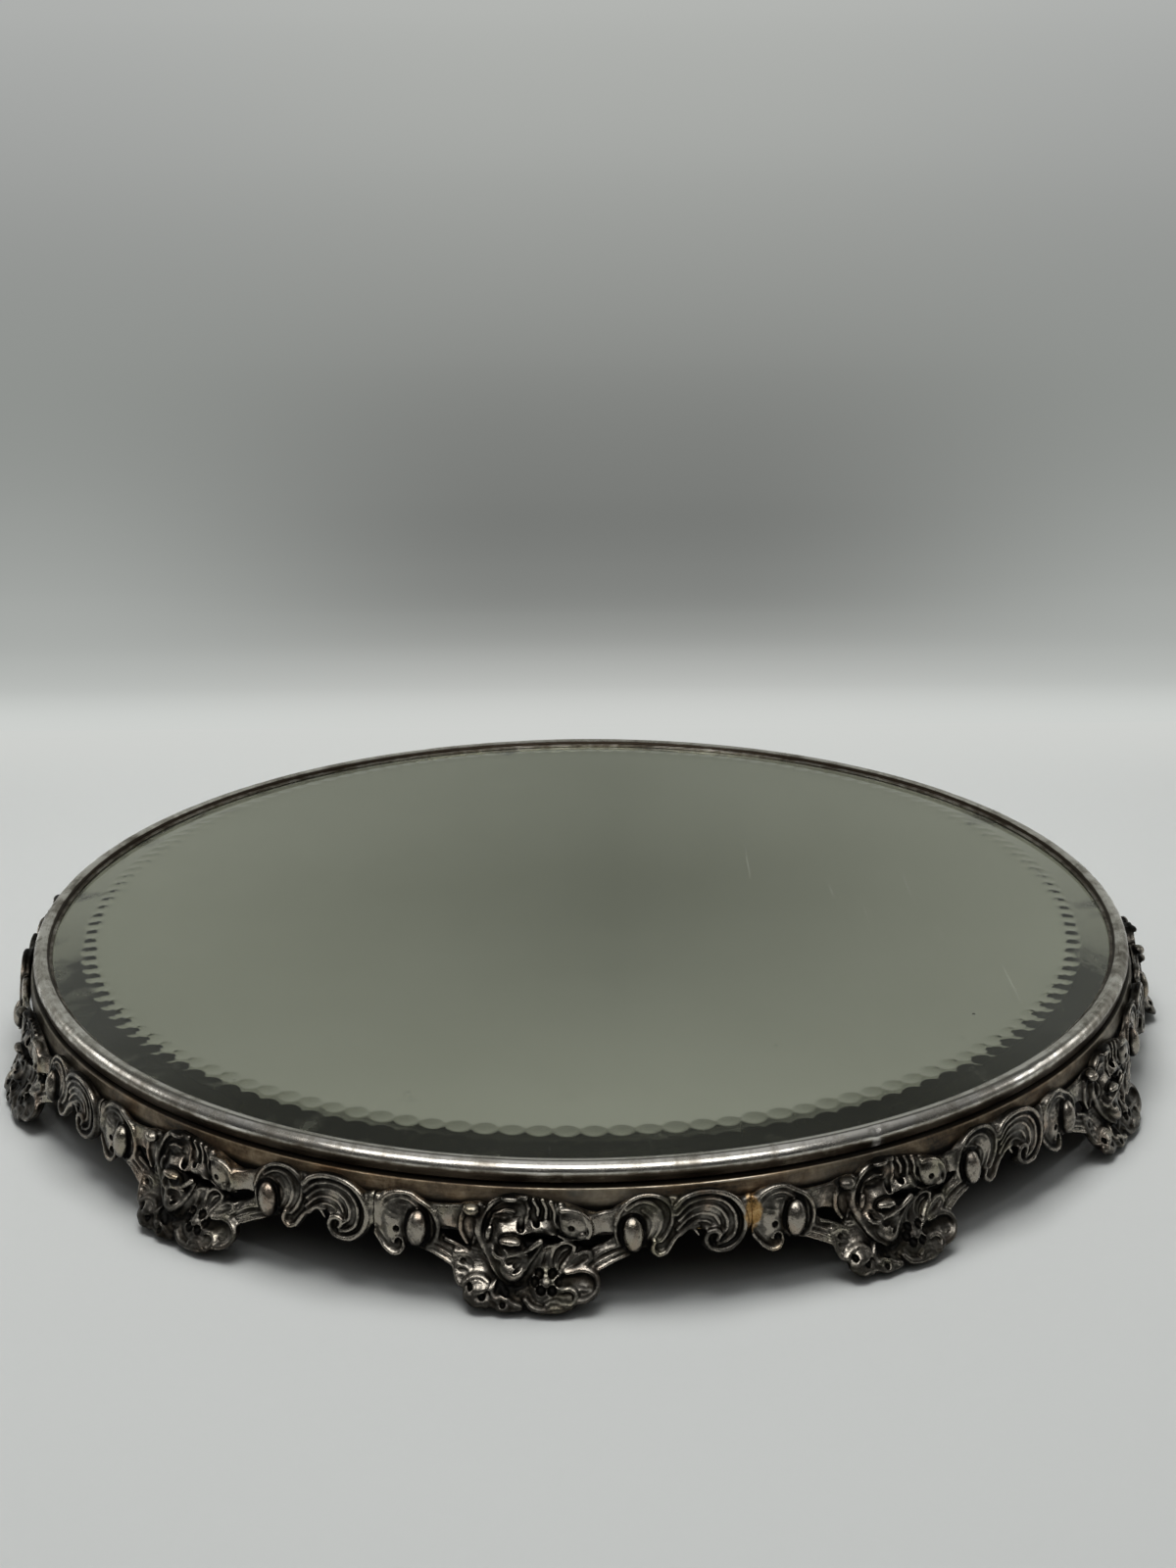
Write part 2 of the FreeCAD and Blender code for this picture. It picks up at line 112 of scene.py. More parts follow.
# Strokes: lift, radius, (along, z) of each point. Lift and radius are each one number, a pair
# for an even run from the first point to the last, or a value for every point.
RIB = (0.38, 0.42, 0.45)     # radii of the short ribs in the foot
RIDGES = [
    (2, (0.6, 0.95), ((-45.23,20.28),(-44.85,22.27),(-44.08,25.83),(-42.0,29.04),
     (-38.54,30.82),(-34.69,30.82),(-31.77,29.04),(-28.69,27.11),(-26.77,24.26),
     (-26.23,20.85),(-27.15,17.66),(-29.31,15.65))),
    (2.1, (0.45, 0.47, 0.5, 0.53, 0.55, 0.57, 0.6), ((-43.0,20.34),(-42.69,23.75),
     (-42.0,26.24),(-40.08,28.38),(-37.15,29.45),(-34.31,28.88),(-32.38,27.17))),
    (1.9, (0.35, 0.38, 0.4, 0.42, 0.45), ((-41.23,20.08),(-41.15,23.28),(-40.23,25.77),
     (-38.15,27.34),(-35.85,27.34))),
    ((1.9, 1.97, 2.05, 2.12, 2.2, 2.27, 2.35, 2.42, 2.5),
     (0.6, 0.62, 0.64, 0.66, 0.68, 0.69, 0.71, 0.73, 0.75),
     ((-46.23,19.94),(-44.31,17.15),(-42.0,14.48),(-39.46,12.94),(-37.15,13.44),
     (-36.0,15.27),(-36.54,16.95),(-38.23,17.41),(-39.0,16.34))),
    (1.8, (0.45, 0.43, 0.4), ((-43.46,19.31),(-42.0,17.05),(-40.46,15.48))),
    (2, (0.5, 0.55), ((-35.31,25.83),(-35.92,22.27),(-35.46,18.36),(-33.77,15.79))),
    (1.9, (0.45, 0.5), ((-29.15,26.34),(-28.23,22.92),(-28.23,19.01),(-29.62,16.0))),
    (2, (0.55, 0.6), ((-27.62,17.87),(-24.54,16.47),(-21.15,14.88),(-18.92,13.46))),
    (2.2, (0.5, 0.6), ((-29.92,16.44),(-26.38,15.63),(-22.69,14.02),(-20.08,12.64))),
    (2, (0.5, 0.6), ((-31.23,15.52),(-27.31,14.39),(-23.46,12.77),(-20.85,11.64))),
    (1.9, (0.6, 0.7), ((-23.92,18.31),(-19.69,16.69),(-16.23,14.7))),
    (1.9, (0.5, 0.4), ((-25.85,22.07),(-26.85,19.37),(-26.08,17.81))),
    (2.4, (1.0, 0.6), ((-18.38,27.35),(-19.54,24.5),(-19.31,21.22),(-17.62,18.1))),
    (2.4, (0.85, 0.6), ((-14.08,27.63),(-13.62,25.21),(-14.54,21.79),(-15.85,18.24))),
    (1.5, (0.5, 0.4), ((-16.62,25.54),(-17.15,22.33),(-16.62,19.14))),
    ((2.2, 3.1), (0.7, 0.9), ((-13.15,18.13),(-14.08,21.76),(-13.46,25.41),(-11.92,28.7),
     (-9.15,31.57),(-5.15,33.08),(-1.0,32.74))),
    ((2.3, 2.8), (0.45, 0.5), ((-11.62,18.54),(-11.77,21.44),(-10.85,24.84),(-9.0,27.61),
     (-6.38,28.8),(-3.77,28.29))),
    (2.9, 0.42, ((-8.38,24.79),(-6.69,24.58),(-4.69,24.79))),
    (2.9, 0.42, ((-8.38,23.79),(-6.69,23.58),(-4.69,23.79))),
    (2.9, 0.42, ((-8.38,22.8),(-6.69,22.58),(-4.69,22.8))),
    (2.9, 0.42, ((-8.38,21.87),(-6.69,21.66),(-4.69,21.87))),
    (3, 0.5, ((-8.54,20.01),(-6.62,20.86),(-4.69,20.37))),
    (2.5, (0.6, 0.5), ((-1.0,31.82),(0.08,28.62),(-1.23,25.05),(-0.46,22.92))),
    (2.6, (0.65, 0.5), ((1.08,31.88),(2.62,29.03),(1.92,25.83),(3.77,23.69))),
    (2.7, (0.65, 0.55), ((3.77,31.94),(4.92,29.45),(4.69,26.24),(6.46,24.1))),
    (3, (0.75, 0.6), ((6.08,31.55),(7.23,28.91),(7.31,25.7),(9.0,23.21))),
    (3.2, (0.8, 0.6), ((8.85,30.95),(9.0,27.96),(9.62,24.97),(11.46,22.26))),
    (4.2, (0.9, 0.75), ((9.31,29.61),(11.85,29.61),(14.69,28.54),(16.54,26.41),
     (17.15,23.56),(16.23,21.71))),
    (4.3, (0.5, 0.47, 0.45), ((10.85,26.82),(12.62,25.61),(13.62,23.62))),
    (2.4, (0.55, 0.5), ((7.31,21.79),(9.92,20.51),(13.77,20.23),(17.23,20.51))),
    (0.9, 0.9, ((18.0,24.83),(19.92,23.62),(23.0,23.62),(24.92,24.83))),
    (2.1, (0.5, 0.6), ((25.77,18.21),(21.46,16.66),(18.0,14.81),(15.31,13.22))),
    (2.3, (0.5, 0.6), ((26.85,16.64),(22.38,14.97),(18.38,13.14),(15.69,11.61))),
    (2.1, (0.5, 0.53, 0.55), ((27.92,15.44),(23.15,13.62),(19.0,11.8))),
    (2, 0.55, ((25.31,18.01),(24.38,21.56),(24.85,24.98),(26.54,27.11),(29.15,27.82),
     (31.62,26.83))),
    (2.3, (0.65, 0.8), ((24.23,24.44),(25.46,27.79),(27.92,30.85),(31.62,32.56),
     (35.46,32.42),(38.54,30.71),(40.38,27.79),(40.08,24.01),(38.08,20.17),(35.77,18.04))),
    (2.4, (0.5, 0.51, 0.52, 0.53, 0.53, 0.54, 0.55), ((27.46,28.56),(30.69,30.48),
     (34.23,30.34),(36.69,28.06),(37.31,25.0),(36.08,21.44),(34.23,19.09))),
    (2.3, (0.45, 0.46, 0.47, 0.49, 0.5), ((31.85,27.86),(33.77,26.58),(34.77,24.44),
     (34.08,21.73),(33.0,19.96))),
    (2.1, 0.4, ((33.0,25.18),(33.31,23.04),(32.69,21.26))),
    ((2.9, 2.2), (0.8, 0.55), ((35.0,18.89),(34.38,16.79),(36.08,14.99),(38.38,15.58),
     (40.08,18.16),(42.38,20.73),(45.31,22.3),(47.77,22.39))),
    ((2.9, 2.92, 2.95, 2.98, 3.0, 3.02, 3.05, 3.07, 3.1, 3.12, 3.15, 3.17, 3.2, 3.22, 3.25,
      3.27, 3.3),
     (0.95, 0.93, 0.92, 0.9, 0.89, 0.87, 0.86, 0.84, 0.82, 0.81, 0.79, 0.78, 0.76, 0.75,
      0.73, 0.72, 0.7),
     ((41.0,28.85),(43.77,31.5),(47.77,32.8),(52.08,32.67),(56.08,31.26),(59.15,28.71),
     (60.92,25.16),(61.15,21.47),(59.77,17.94),(57.15,15.73),(53.77,15.09),(50.85,16.03),
     (49.62,18.35),(50.38,20.56),(52.54,21.01),(53.77,19.6),(52.85,18.2))),
    ((2.8, 3.0), (0.72, 0.6), ((41.46,26.73),(44.54,29.59),(48.38,30.81),(52.23,30.61),
     (55.62,29.06),(57.92,25.94),(58.54,22.24),(57.62,18.99),(55.31,17.31),(53.0,16.9))),
    ((2.6, 2.8), (0.62, 0.55), ((42.08,24.76),(45.15,27.62),(48.69,28.78),(52.08,28.3),
     (54.54,26.46),(55.92,23.7),(55.77,21.01),(54.23,19.61))),
    ((2.4, 2.5), (0.55, 0.5), ((41.62,21.93),(44.54,24.94),(48.0,26.37),(51.0,26.03),
     (53.0,24.47),(53.77,22.42))),
    (2.2, (0.5, 0.49, 0.47, 0.46, 0.45), ((42.69,20.11),(45.46,22.81),(47.77,23.95),
     (50.08,23.67),(51.77,22.24))),
    (2.2, (0.55, 0.35), ((46.23,21.96),(47.0,20.82),(47.92,19.54))),
    (1.3, 0.6, ((62.38,27.42),(62.69,24.35),(62.23,21.15))),
    ((2.5, 3.2), (0.9, 1.6), ((-14.05,29.65),(-14.62,27.3),(-14.82,24.6),(-14.28,21.56),
     (-12.54,17.84),(-10.19,14.21),(-8.17,11.49),(-5.49,9.9))),
    ((2.4, 3.0), (0.8, 1.2), ((-13.28,29.25),(-13.81,25.87),(-13.81,21.81),(-11.87,18.1),
     (-9.52,14.58),(-7.33,11.72))),
    (2, (0.42, 0.36), ((-16.23,16.65),(-14.05,16.38),(-11.87,16.51))),
    (2, (0.42, 0.36), ((-16.03,15.5),(-13.75,15.24),(-11.53,15.37))),
    (2, (0.42, 0.36), ((-15.83,14.44),(-13.44,14.21),(-11.19,14.32))),
    (2, (0.42, 0.36), ((-15.63,13.48),(-13.14,13.25),(-10.86,13.36))),
    (2, (0.42, 0.36), ((-15.42,12.59),(-12.84,12.37),(-10.52,12.48))),
    (2, (0.42, 0.36), ((-15.22,11.77),(-12.54,11.55),(-10.19,11.66))),
    (2, (0.42, 0.36), ((-15.02,10.95),(-12.24,10.73),(-9.85,10.84))),
    ((2.2, 2.4), (0.85, 0.84, 0.82, 0.81, 0.8), ((-21.0,15.44),(-20.73,12.87),
     (-20.39,10.16),(-19.19,7.95),(-17.41,7.08))),
    ((2.5, 2.0), (0.75, 0.5), ((-20.76,15.14),(-18.75,15.14),(-16.9,14.67),(-15.89,13.87))),
    ((2.3, 1.9), (0.6, 0.53, 0.45), ((-20.26,14.01),(-18.41,13.77),(-16.9,12.71))),
    ((2.2, 1.9), (0.6, 0.45), ((-20.09,12.03),(-18.18,11.71),(-16.57,10.79),(-15.22,9.71))),
    ((2.2, 2.0), (0.6, 0.5), ((-19.76,10.12),(-18.18,9.93),(-16.9,9.34))),
    ((2.8, 3.6), 0.85, ((-17.91,7.95),(-16.57,9.14),(-14.55,9.9),(-12.54,9.79),
     (-11.19,8.84),(-11.36,7.53),(-12.71,6.77),(-14.48,6.95))),
    ((5.4, 5.38, 5.35, 5.33, 5.3, 5.28, 5.25, 5.23, 5.2),
     (0.85, 0.82, 0.79, 0.76, 0.72, 0.69, 0.66, 0.63, 0.6),
     ((-7.16,20.5),(-6.56,21.42),(-4.81,21.74),(-2.87,21.11),(-1.59,19.75),(-1.86,18.13),
     (-3.47,17.16),(-5.49,17.42),(-6.56,18.5))),
    ((4.8, 6.2), (0.75, 0.85), ((-9.78,16.9),(-8.84,15.95),(-6.83,15.8),(-4.81,16.74),
     (-2.8,17.7),(-0.79,18.43),(1.3,19.82),(3.41,21.55))),
    ((5.6, 5.4), (0.7, 0.66, 0.62, 0.59, 0.55), ((-6.83,15.0),(-5.49,15.73),(-3.81,16.36),
     (-2.2,16.87),(-0.45,17.25))),
    ((3.7, 4.9), (0.6, 0.62, 0.65, 0.68, 0.7, 0.73, 0.75, 0.78, 0.8),
     ((-9.01,14.7),(-8.11,13.35),(-6.63,11.99),(-4.81,11.24),(-2.93,11.64),(-1.19,13.13),
     (0.49,15.31),(2.3,18.06),(3.41,20.38))),
    ((3.0, 2.4), (1.0, 0.8), ((3.75,19.1),(3.41,15.77),(2.57,12.76),(3.24,11.71))),
    ((2.4, 2.2), (0.9, 0.7), ((4.92,18.92),(5.09,15.5),(4.59,12.85))),
    ((2.6, 2.62, 2.65, 2.67, 2.7, 2.73, 2.75, 2.77, 2.8),
     (0.75, 0.74, 0.74, 0.73, 0.72, 0.72, 0.71, 0.71, 0.7),
     ((6.1,12.63),(6.1,15.35),(6.94,17.53),(8.88,19.15),(10.97,19.37),(12.58,18.36),
     (12.24,16.47),(10.63,14.53),(9.12,12.86))),
    ((2.2, 2.4), (0.5, 0.45), ((7.61,12.85),(8.01,14.86),(9.29,16.77),(10.9,17.55))),
    ((2.0, 2.2), (0.4, 0.38, 0.35), ((6.94,12.76),(7.21,14.78),(8.28,16.93))),
    (2.8, (0.75, 0.74, 0.74, 0.73, 0.72, 0.72, 0.71, 0.71, 0.7),
     ((8.88,11.62),(10.36,13.46),(12.65,15.39),(15.0,16.7),(16.84,16.43),(17.08,14.99),
     (15.4,13.63),(12.65,12.31),(10.63,11.62))),
    (2.5, (0.5, 0.45), ((10.3,11.95),(12.14,13.6),(14.49,15.04),(16.0,15.42))),
    (2.3, (0.42, 0.4), ((11.64,11.8),(13.65,12.9),(15.67,14.01))),
    (3, (0.95, 0.85), ((10.63,11.72),(13.82,12.35),(16.67,11.99),(18.62,10.49),
     (19.16,8.53),(18.19,6.54),(16.0,5.18),(13.82,4.77))),
    ((2.3, 2.4), (0.6, 0.5), ((10.3,7.71),(12.98,7.4),(15.67,7.07),(17.68,7.22))),
    ((2.2, 2.3), (0.5, 0.47, 0.45), ((10.63,6.72),(12.98,6.06),(15.33,5.81))),
    ((2.8, 3.4), (0.7, 0.8), ((9.46,7.27),(11.3,7.73),(12.58,7.1),(13.18,5.94),
     (12.65,4.63),(11.64,3.87))),
    ((3.5, 3.52, 3.55, 3.58, 3.6), (0.75, 0.76, 0.78, 0.79, 0.8),
     ((5.09,4.05),(6.1,4.74),(7.61,4.89),(9.12,4.34),(11.13,4.18))),
    ((3.4, 3.0), (0.8, 0.9), ((-0.79,5.18),(0.09,4.12),(1.4,3.17),(2.91,2.76),(4.92,2.63),
     (6.94,2.65),(9.29,2.85),(11.3,3.55))),
    ((1.5, 2.7), RIB, ((3.41,5.03),(2.84,4.09),(2.57,3.14))),
    ((1.5, 2.7), RIB, ((4.92,4.9),(4.92,4.09),(5.09,3.14))),
    ((1.5, 2.7), RIB, ((1.9,5.31),(1.23,4.63),(0.89,3.82))),
    ((1.5, 2.7), RIB, ((6.94,5.31),(7.78,4.9),(8.62,4.64))),
    ((2.8, 3.4), (0.8, 0.81, 0.82, 0.82, 0.83, 0.84, 0.85), ((-2.97,9.09),(-5.49,9.68),
     (-7.67,9.45),(-9.25,8.41),(-10.02,6.91),(-9.52,5.32),(-8.31,4.69))),
    ((3.6, 3.2), (0.8, 0.75), ((-8.58,5.27),(-7.16,5.78),(-5.82,5.39),(-4.81,4.53),
     (-3.47,3.76),(-2.06,3.56))),
    (2.8, (0.9, 0.88, 0.85, 0.83, 0.8), ((-9.52,3.6),(-8.17,2.89),(-5.82,2.45),
     (-3.47,2.56),(-1.73,3.11))),
    ((1.5, 2.5), RIB, ((0.56,8.16),(-1.46,8.17),(-3.81,8.3))),
    ((1.5, 2.5), RIB, ((0.76,7.07),(-1.12,6.62),(-3.14,6.04))),
    ((1.5, 2.5), RIB, ((1.3,6.12),(0.05,5.4),(-1.12,4.68))),
    ((2.6, 2.2), (0.5, 0.4), ((-2.8,6.49),(-1.46,7.08),(-0.11,7.4))),
]
GROOVES = [
    (2.9, (0.35, 0.32, 0.3), ((-41.31,26.36),(-38.92,25.22),(-36.85,24.79))),
    (2.9, (0.3, 0.28, 0.25), ((-42.0,24.79),(-39.69,23.86),(-37.62,23.65))),
    (3.4, (0.9, 0.6), ((-15.85,25.08),(-16.23,22.38),(-16.38,20.24))),
    (3.2, (0.9, 0.8), ((-9.31,26.53),(-7.0,27.1),(-4.31,26.53))),
    (3, (0.9, 0.8), ((0.69,28.2),(1.85,25.7),(3.0,23.57))),
    (3, 1, ((-2.69,28.2),(-2.23,25.35),(-2.38,23.21))),
    (6.3, (1.1, 0.9), ((-5.99,19.82),(-4.81,19.55),(-3.47,19.82))),
    (6.2, (0.8, 0.7), ((-5.49,15.44),(-3.47,15.86),(-2.13,15.44),(-3.47,14.47))),
    (6, (0.5, 0.47, 0.45), ((-0.45,16.24),(-2.13,13.81),(-3.81,12.92))),
    ((3.2, 2.8), (1.5, 0.9), ((9.96,9.71),(12.31,9.92),(14.66,9.64),(16.67,8.98))),
    ((3.0, 2.8), (1.3, 1.0), ((-7.67,8.36),(-6.83,7.31),(-6.16,6.31))),
]
# along, z, lift, half-size along, half-size of the lift, half-size up, turn in degrees, blend
DOMES = [
    (-39.08,21.84,1.5,4.2,1.2,7.5,8,0.4), (-32.15,21.28,2.5,3.1,2.9,5.5,-3,0.25),
    (-16.23,29.12,3.6,2.5,2.1,1.75,-8,0.3), (-5.31,32.73,3.8,2.6,1.0,0.85,-2,0.4),
    (-11.31,21.91,2.6,1.3,1.5,2.6,-10,0.4), (-7.38,27.11,2.0,3.2,1.6,1.4,0,0.4),
    (12.62,25.56,3.0,4.3,2.0,4.6,30,0.3), (14.62,22.51,4.0,1.5,1.3,1.5,0,0.4),
    (29.15,21.64,2.5,3.05,2.9,5.4,4,0.25), (35.46,24.65,1.2,4.4,1.2,7.0,-12,0.4),
    (50.31,28.33,1.4,8.0,1.3,4.4,-4,0.4), (57.62,21.92,1.4,3.6,1.3,7.0,8,0.4),
    (-13.81,7.27,2.8,2.5,1.8,2.0,0,0.4), (-15.39,5.59,2.4,2.6,1.8,2.4,20,0.4),
    (-13.81,4.17,2.4,2.9,1.7,1.9,0,0.4), (-11.46,4.41,2.2,2.0,1.5,2.4,0,0.4),
    (-3.81,15.66,2.6,5.2,3.2,5.8,-14,0.5), (-4.98,21.13,6.0,3.1,1.5,1.35,-6,0.25),
    (-4.55,13.37,3.9,3.9,2.7,3.5,-18,0.6), (4.92,8.49,1.5,5.4,2.0,5.7,0,0.4),
    (7.78,3.32,2.8,2.8,1.3,1.3,0,0.4), (-6.63,3.29,2.6,2.4,1.4,1.5,0,0.4),
    (4.92,9.26,3.0,1.55,1.2,1.55,0,0.2), (4.75,11.7,2.5,0.75,0.7,0.75,0,0.2),
    (8.28,10.2,2.5,0.75,0.7,0.75,0,0.2), (8.01,7.75,2.5,0.75,0.7,0.75,0,0.2),
    (4.92,6.26,2.5,0.75,0.7,0.75,0,0.2), (2.07,7.7,2.5,0.75,0.7,0.75,0,0.2),
    (1.57,10.15,2.5,0.75,0.7,0.75,0,0.2),
]
# along, z, lift, radius
PITS = [
    (-38.38,20.13,2.6,0.85), (-37.62,16.26,2.6,1.1), (-10.08,25.2,3.6,1.0),
    (11.85,24.82,4.9,0.75), (36.54,17.44,3.2,1.15), (-18.58,13.04,2.6,0.8),
    (-12.54,5.37,3.4,0.8), (-15.69,7.45,3.2,0.9), (-6.76,3.74,3.7,0.7),
    (2.84,11.24,3.1,1.22), (6.67,11.3,3.1,1.22), (8.45,9.25,3.1,1.22),
    (6.53,7.27,3.1,1.22), (3.51,7.27,3.1,1.22), (1.73,9.17,3.1,1.22),
]
# Solder at the two ends: along, z, half-size along, half-size up
SOLDER_DOMES = [
    (LEFT_END + 0.6, 25.6, 2.5, 3.8), (LEFT_END + 1.2, 22.4, 2.1, 2.6),
    (RIGHT_END - 0.4, 26.4, 3.0, 3.4), (RIGHT_END - 0.9, 22.9, 2.6, 2.6),
]


# ---------------------------------------------------------------- distance fields
def smooth_noise(shape, cell, rng):
    """Value noise on a grid, in -1..1, with cells that many grid steps wide."""
    values = rng.uniform(-1, 1, [int(math.ceil(n / cell)) + 3 for n in shape])
    values = values.astype(np.float32)
    for axis, count in enumerate(shape):
        place = np.arange(count) / cell
        index = place.astype(int)
        share = (place - index).astype(np.float32)
        share = share * share * (3 - 2 * share)
        below = np.take(values, index, axis=axis)
        above = np.take(values, index + 1, axis=axis)
        across = [1, 1, 1]
        across[axis] = count
        share = share.reshape(across)
        values = below * (1 - share) + above * share
    return values


def lean(z):
    """How far the sheet of a casting stands out from its back plane at height z."""
    below = 15.0 - z
    return 0.125 * (31.0 - z) + 0.46 * (below / 2 + np.sqrt(below * below / 4 + 0.36))


def smooth_min(first, second, blend):
    overlap = np.maximum(blend - np.abs(first - second), 0) / blend
    return np.minimum(first, second) - overlap * overlap * blend * 0.25


def smooth_max(first, second, blend):
    return -smooth_min(-first, -second, blend)


def segment_distance(point, start, run):
    """Distance to a segment and the share of its length at the nearest spot."""
    offset = [here - origin for here, origin in zip(point, start)]
    length_squared = sum(r * r for r in run) + 1e-9
    share = np.clip(sum(o * r for o, r in zip(offset, run)) / length_squared, 0, 1)
    return np.sqrt(sum((o - share * r) ** 2 for o, r in zip(offset, run))), share


def polygon_distance(points, across, up):
    """Signed distance in the plane of the sheet to a closed polygon, negative inside."""
    nearest = np.full(across.shape, 1e9, np.float32)
    inside = np.zeros(across.shape, bool)
    for (x0, z0), (x1, z1) in zip(points, [*points[1:], points[0]]):
        distance, _ = segment_distance((across, up), (x0, z0), (x1 - x0, z1 - z0))
        nearest = np.minimum(nearest, distance)
        if z0 != z1:
            crossing = (x1 - x0) * (up - z0) / (z1 - z0) + x0
            inside ^= ((z0 > up) != (z1 > up)) & (across < crossing)
    return np.where(inside, -nearest, nearest)


def stroke_points(lift, radius, outline):
    """Points of a stroke as rows of along, z, lift, radius."""
    def column(value):
        if np.ndim(value) == 0:
            return np.full(len(outline), float(value))
        if len(value) == 2:
            return np.linspace(*value, len(outline)).round(2)
        return value
    return np.column_stack([outline, column(lift), column(radius)])


def smooth_curve(points, spacing=0.9):
    """Catmull-Rom curve through the points of a stroke."""
    padded = np.vstack([2 * points[0] - points[1], points, 2 * points[-1] - points[-2]])
    curve = []
    for i in range(len(points) - 1):
        before, start, end, after = padded[i:i + 4]
        count = max(1, int(np.hypot(*(end - start)[:2]) / spacing))
        square = 2 * before - 5 * start + 4 * end - after
        cube = 3 * start - before - 3 * end + after
        for j in range(count):
            t = j / count
            curve.append(
                0.5 * (2 * start + (end - before) * t + square * t * t + cube * t ** 3)
            )
    curve.append(points[-1])
    return np.array(curve)


class Field:
    """Distance field of one casting over (along, out from the back plane, z)."""

    def __init__(self, step):
        self.step = step
        self.low = np.array([LEFT_END - 2 * step, -1.0, -1.5])
        high = np.array([RIGHT_END + 2 * step, 21.0, 34.5])
        self.shape = tuple(int(n) for n in np.ceil((high - self.low) / step))
        self.axes = [self.low[i] + step * np.arange(self.shape[i]) for i in range(3)]
        self.lean = lean(self.axes[2]).astype(np.float32)
        self.lift = self.axes[1][None, :, None] - self.lean[None, None, :]

    def span(self, axis, low, high):
        """Grid slice along one axis that covers low to high."""
        first = int((low - self.low[axis]) / self.step)
        last = int((high - self.low[axis]) / self.step) + 2
        return slice(max(0, first), min(self.shape[axis], last))

    def region(self, along, height, lift):
        """Grid slices round a leaning box, and (along, z, lift) of the points in them."""
        across = self.span(0, *along)
        up = self.span(2, *height)
        sheet_lean = self.lean[up]
        out = self.span(1, sheet_lean.min() + lift[0], sheet_lean.max() + lift[1])
        x = self.axes[0][across].astype(np.float32)[:, None, None]
        z = self.axes[2][up].astype(np.float32)[None, None, :]
        return (across, out, up), (x, z, self.lift[:, out, up])

    def merge(self, slices, distance, blend, cut):
        """Adds a shape to the field, or cuts it away."""
        if cut:
            self.values[slices] = smooth_max(self.values[slices], -distance, blend)
        else:
            self.values[slices] = smooth_min(self.values[slices], distance, blend)

    def stroke(self, points, blend, cut=False):
        """Round bar along a curve."""
        curve = smooth_curve(points)
        margin = curve[:, 3].max() + 1.6
        limits = [(c.min() - margin, c.max() + margin) for c in curve[:, :3].T]
        slices, place = self.region(*limits)
        nearest = np.full(np.broadcast(*place).shape, 1e3, np.float32)
        for start, end in zip(curve[:-1], curve[1:]):
            run = end - start
            distance, share = segment_distance(place, start[:3], run[:3])
            np.minimum(nearest, distance - (start[3] + run[3] * share), out=nearest)
        self.merge(slices, nearest, blend, cut)

    def flanks(self, across, up, strokes):
        """Height of the sloping metal either side of each stroke."""
        height = np.full(across.shape, -5.0, np.float32)
        reach = 4.5
        for points in strokes:
            curve = smooth_curve(points, 1.6)
            part = tuple(
                slice(*np.searchsorted(axis, (c.min() - reach, c.max() + reach)))
                for axis, c in zip((self.axes[0], self.axes[2]), curve[:, :2].T)
            )
            place = across[part], up[part]
            best = height[part]
            for start, end in zip(curve[:-1], curve[1:]):
                run = end - start
                distance, share = segment_distance(place, start[:2], run[:2])
                radius = start[3] + run[3] * share
                slope = 0.7 * np.maximum(distance - 0.4 * radius, 0)
                crest = start[2] + run[2] * share + 0.1 * radius
                np.maximum(best, crest - slope, out=best)
        return height

    def dome(self, along, z, lift, half_along, half_lift, half_up, turn, blend, cut=False):
        """Ellipsoid turned in the plane of the sheet."""
        reach = max(half_along, half_up) + 1.5
        slices, (across, up, out) = self.region(
            (along - reach, along + reach), (z - reach, z + reach),
            (lift - half_lift - 1.5, lift + half_lift + 1.5),
        )
        angle = math.radians(turn)
        u = (across - along) * math.cos(angle) + (up - z) * math.sin(angle)
        v = -(across - along) * math.sin(angle) + (up - z) * math.cos(angle)
        w = out - lift
        size = np.sqrt((u / half_along) ** 2 + (v / half_up) ** 2 + (w / half_lift) ** 2)
        slope = np.sqrt(
            (u / half_along ** 2) ** 2 + (v / half_up ** 2) ** 2 + (w / half_lift ** 2) ** 2
        ) + 1e-6
        self.merge(slices, size * (size - 1.0) / slope, blend, cut)

    def sample(self, points):
        """Trilinear value at each point."""
        place = np.clip((points - self.low) / self.step, 0, np.array(self.shape) - 1.001)
        cell = place.astype(np.int64)
        share = (place - cell).astype(np.float32)
        total = np.zeros(len(points), np.float32)
        for corner in CORNERS:
            weight = [share[:, i] if corner[i] else 1 - share[:, i] for i in range(3)]
            total += weight[0] * weight[1] * weight[2] * self.values[tuple((cell + corner).T)]
        return total

    def normal(self, points):
        """Outward direction at each point, and the steepness of the field."""
        reach = self.step * 0.6
        slope = np.stack(
            [self.sample(points + d) - self.sample(points - d) for d in np.eye(3) * reach], 1
        )
        length = np.linalg.norm(slope, axis=1, keepdims=True)
        return slope / np.maximum(length, 1e-9), length[:, 0] / (2 * reach)


CORNERS = list(itertools.product((0, 1), repeat=3))      # of a grid cell


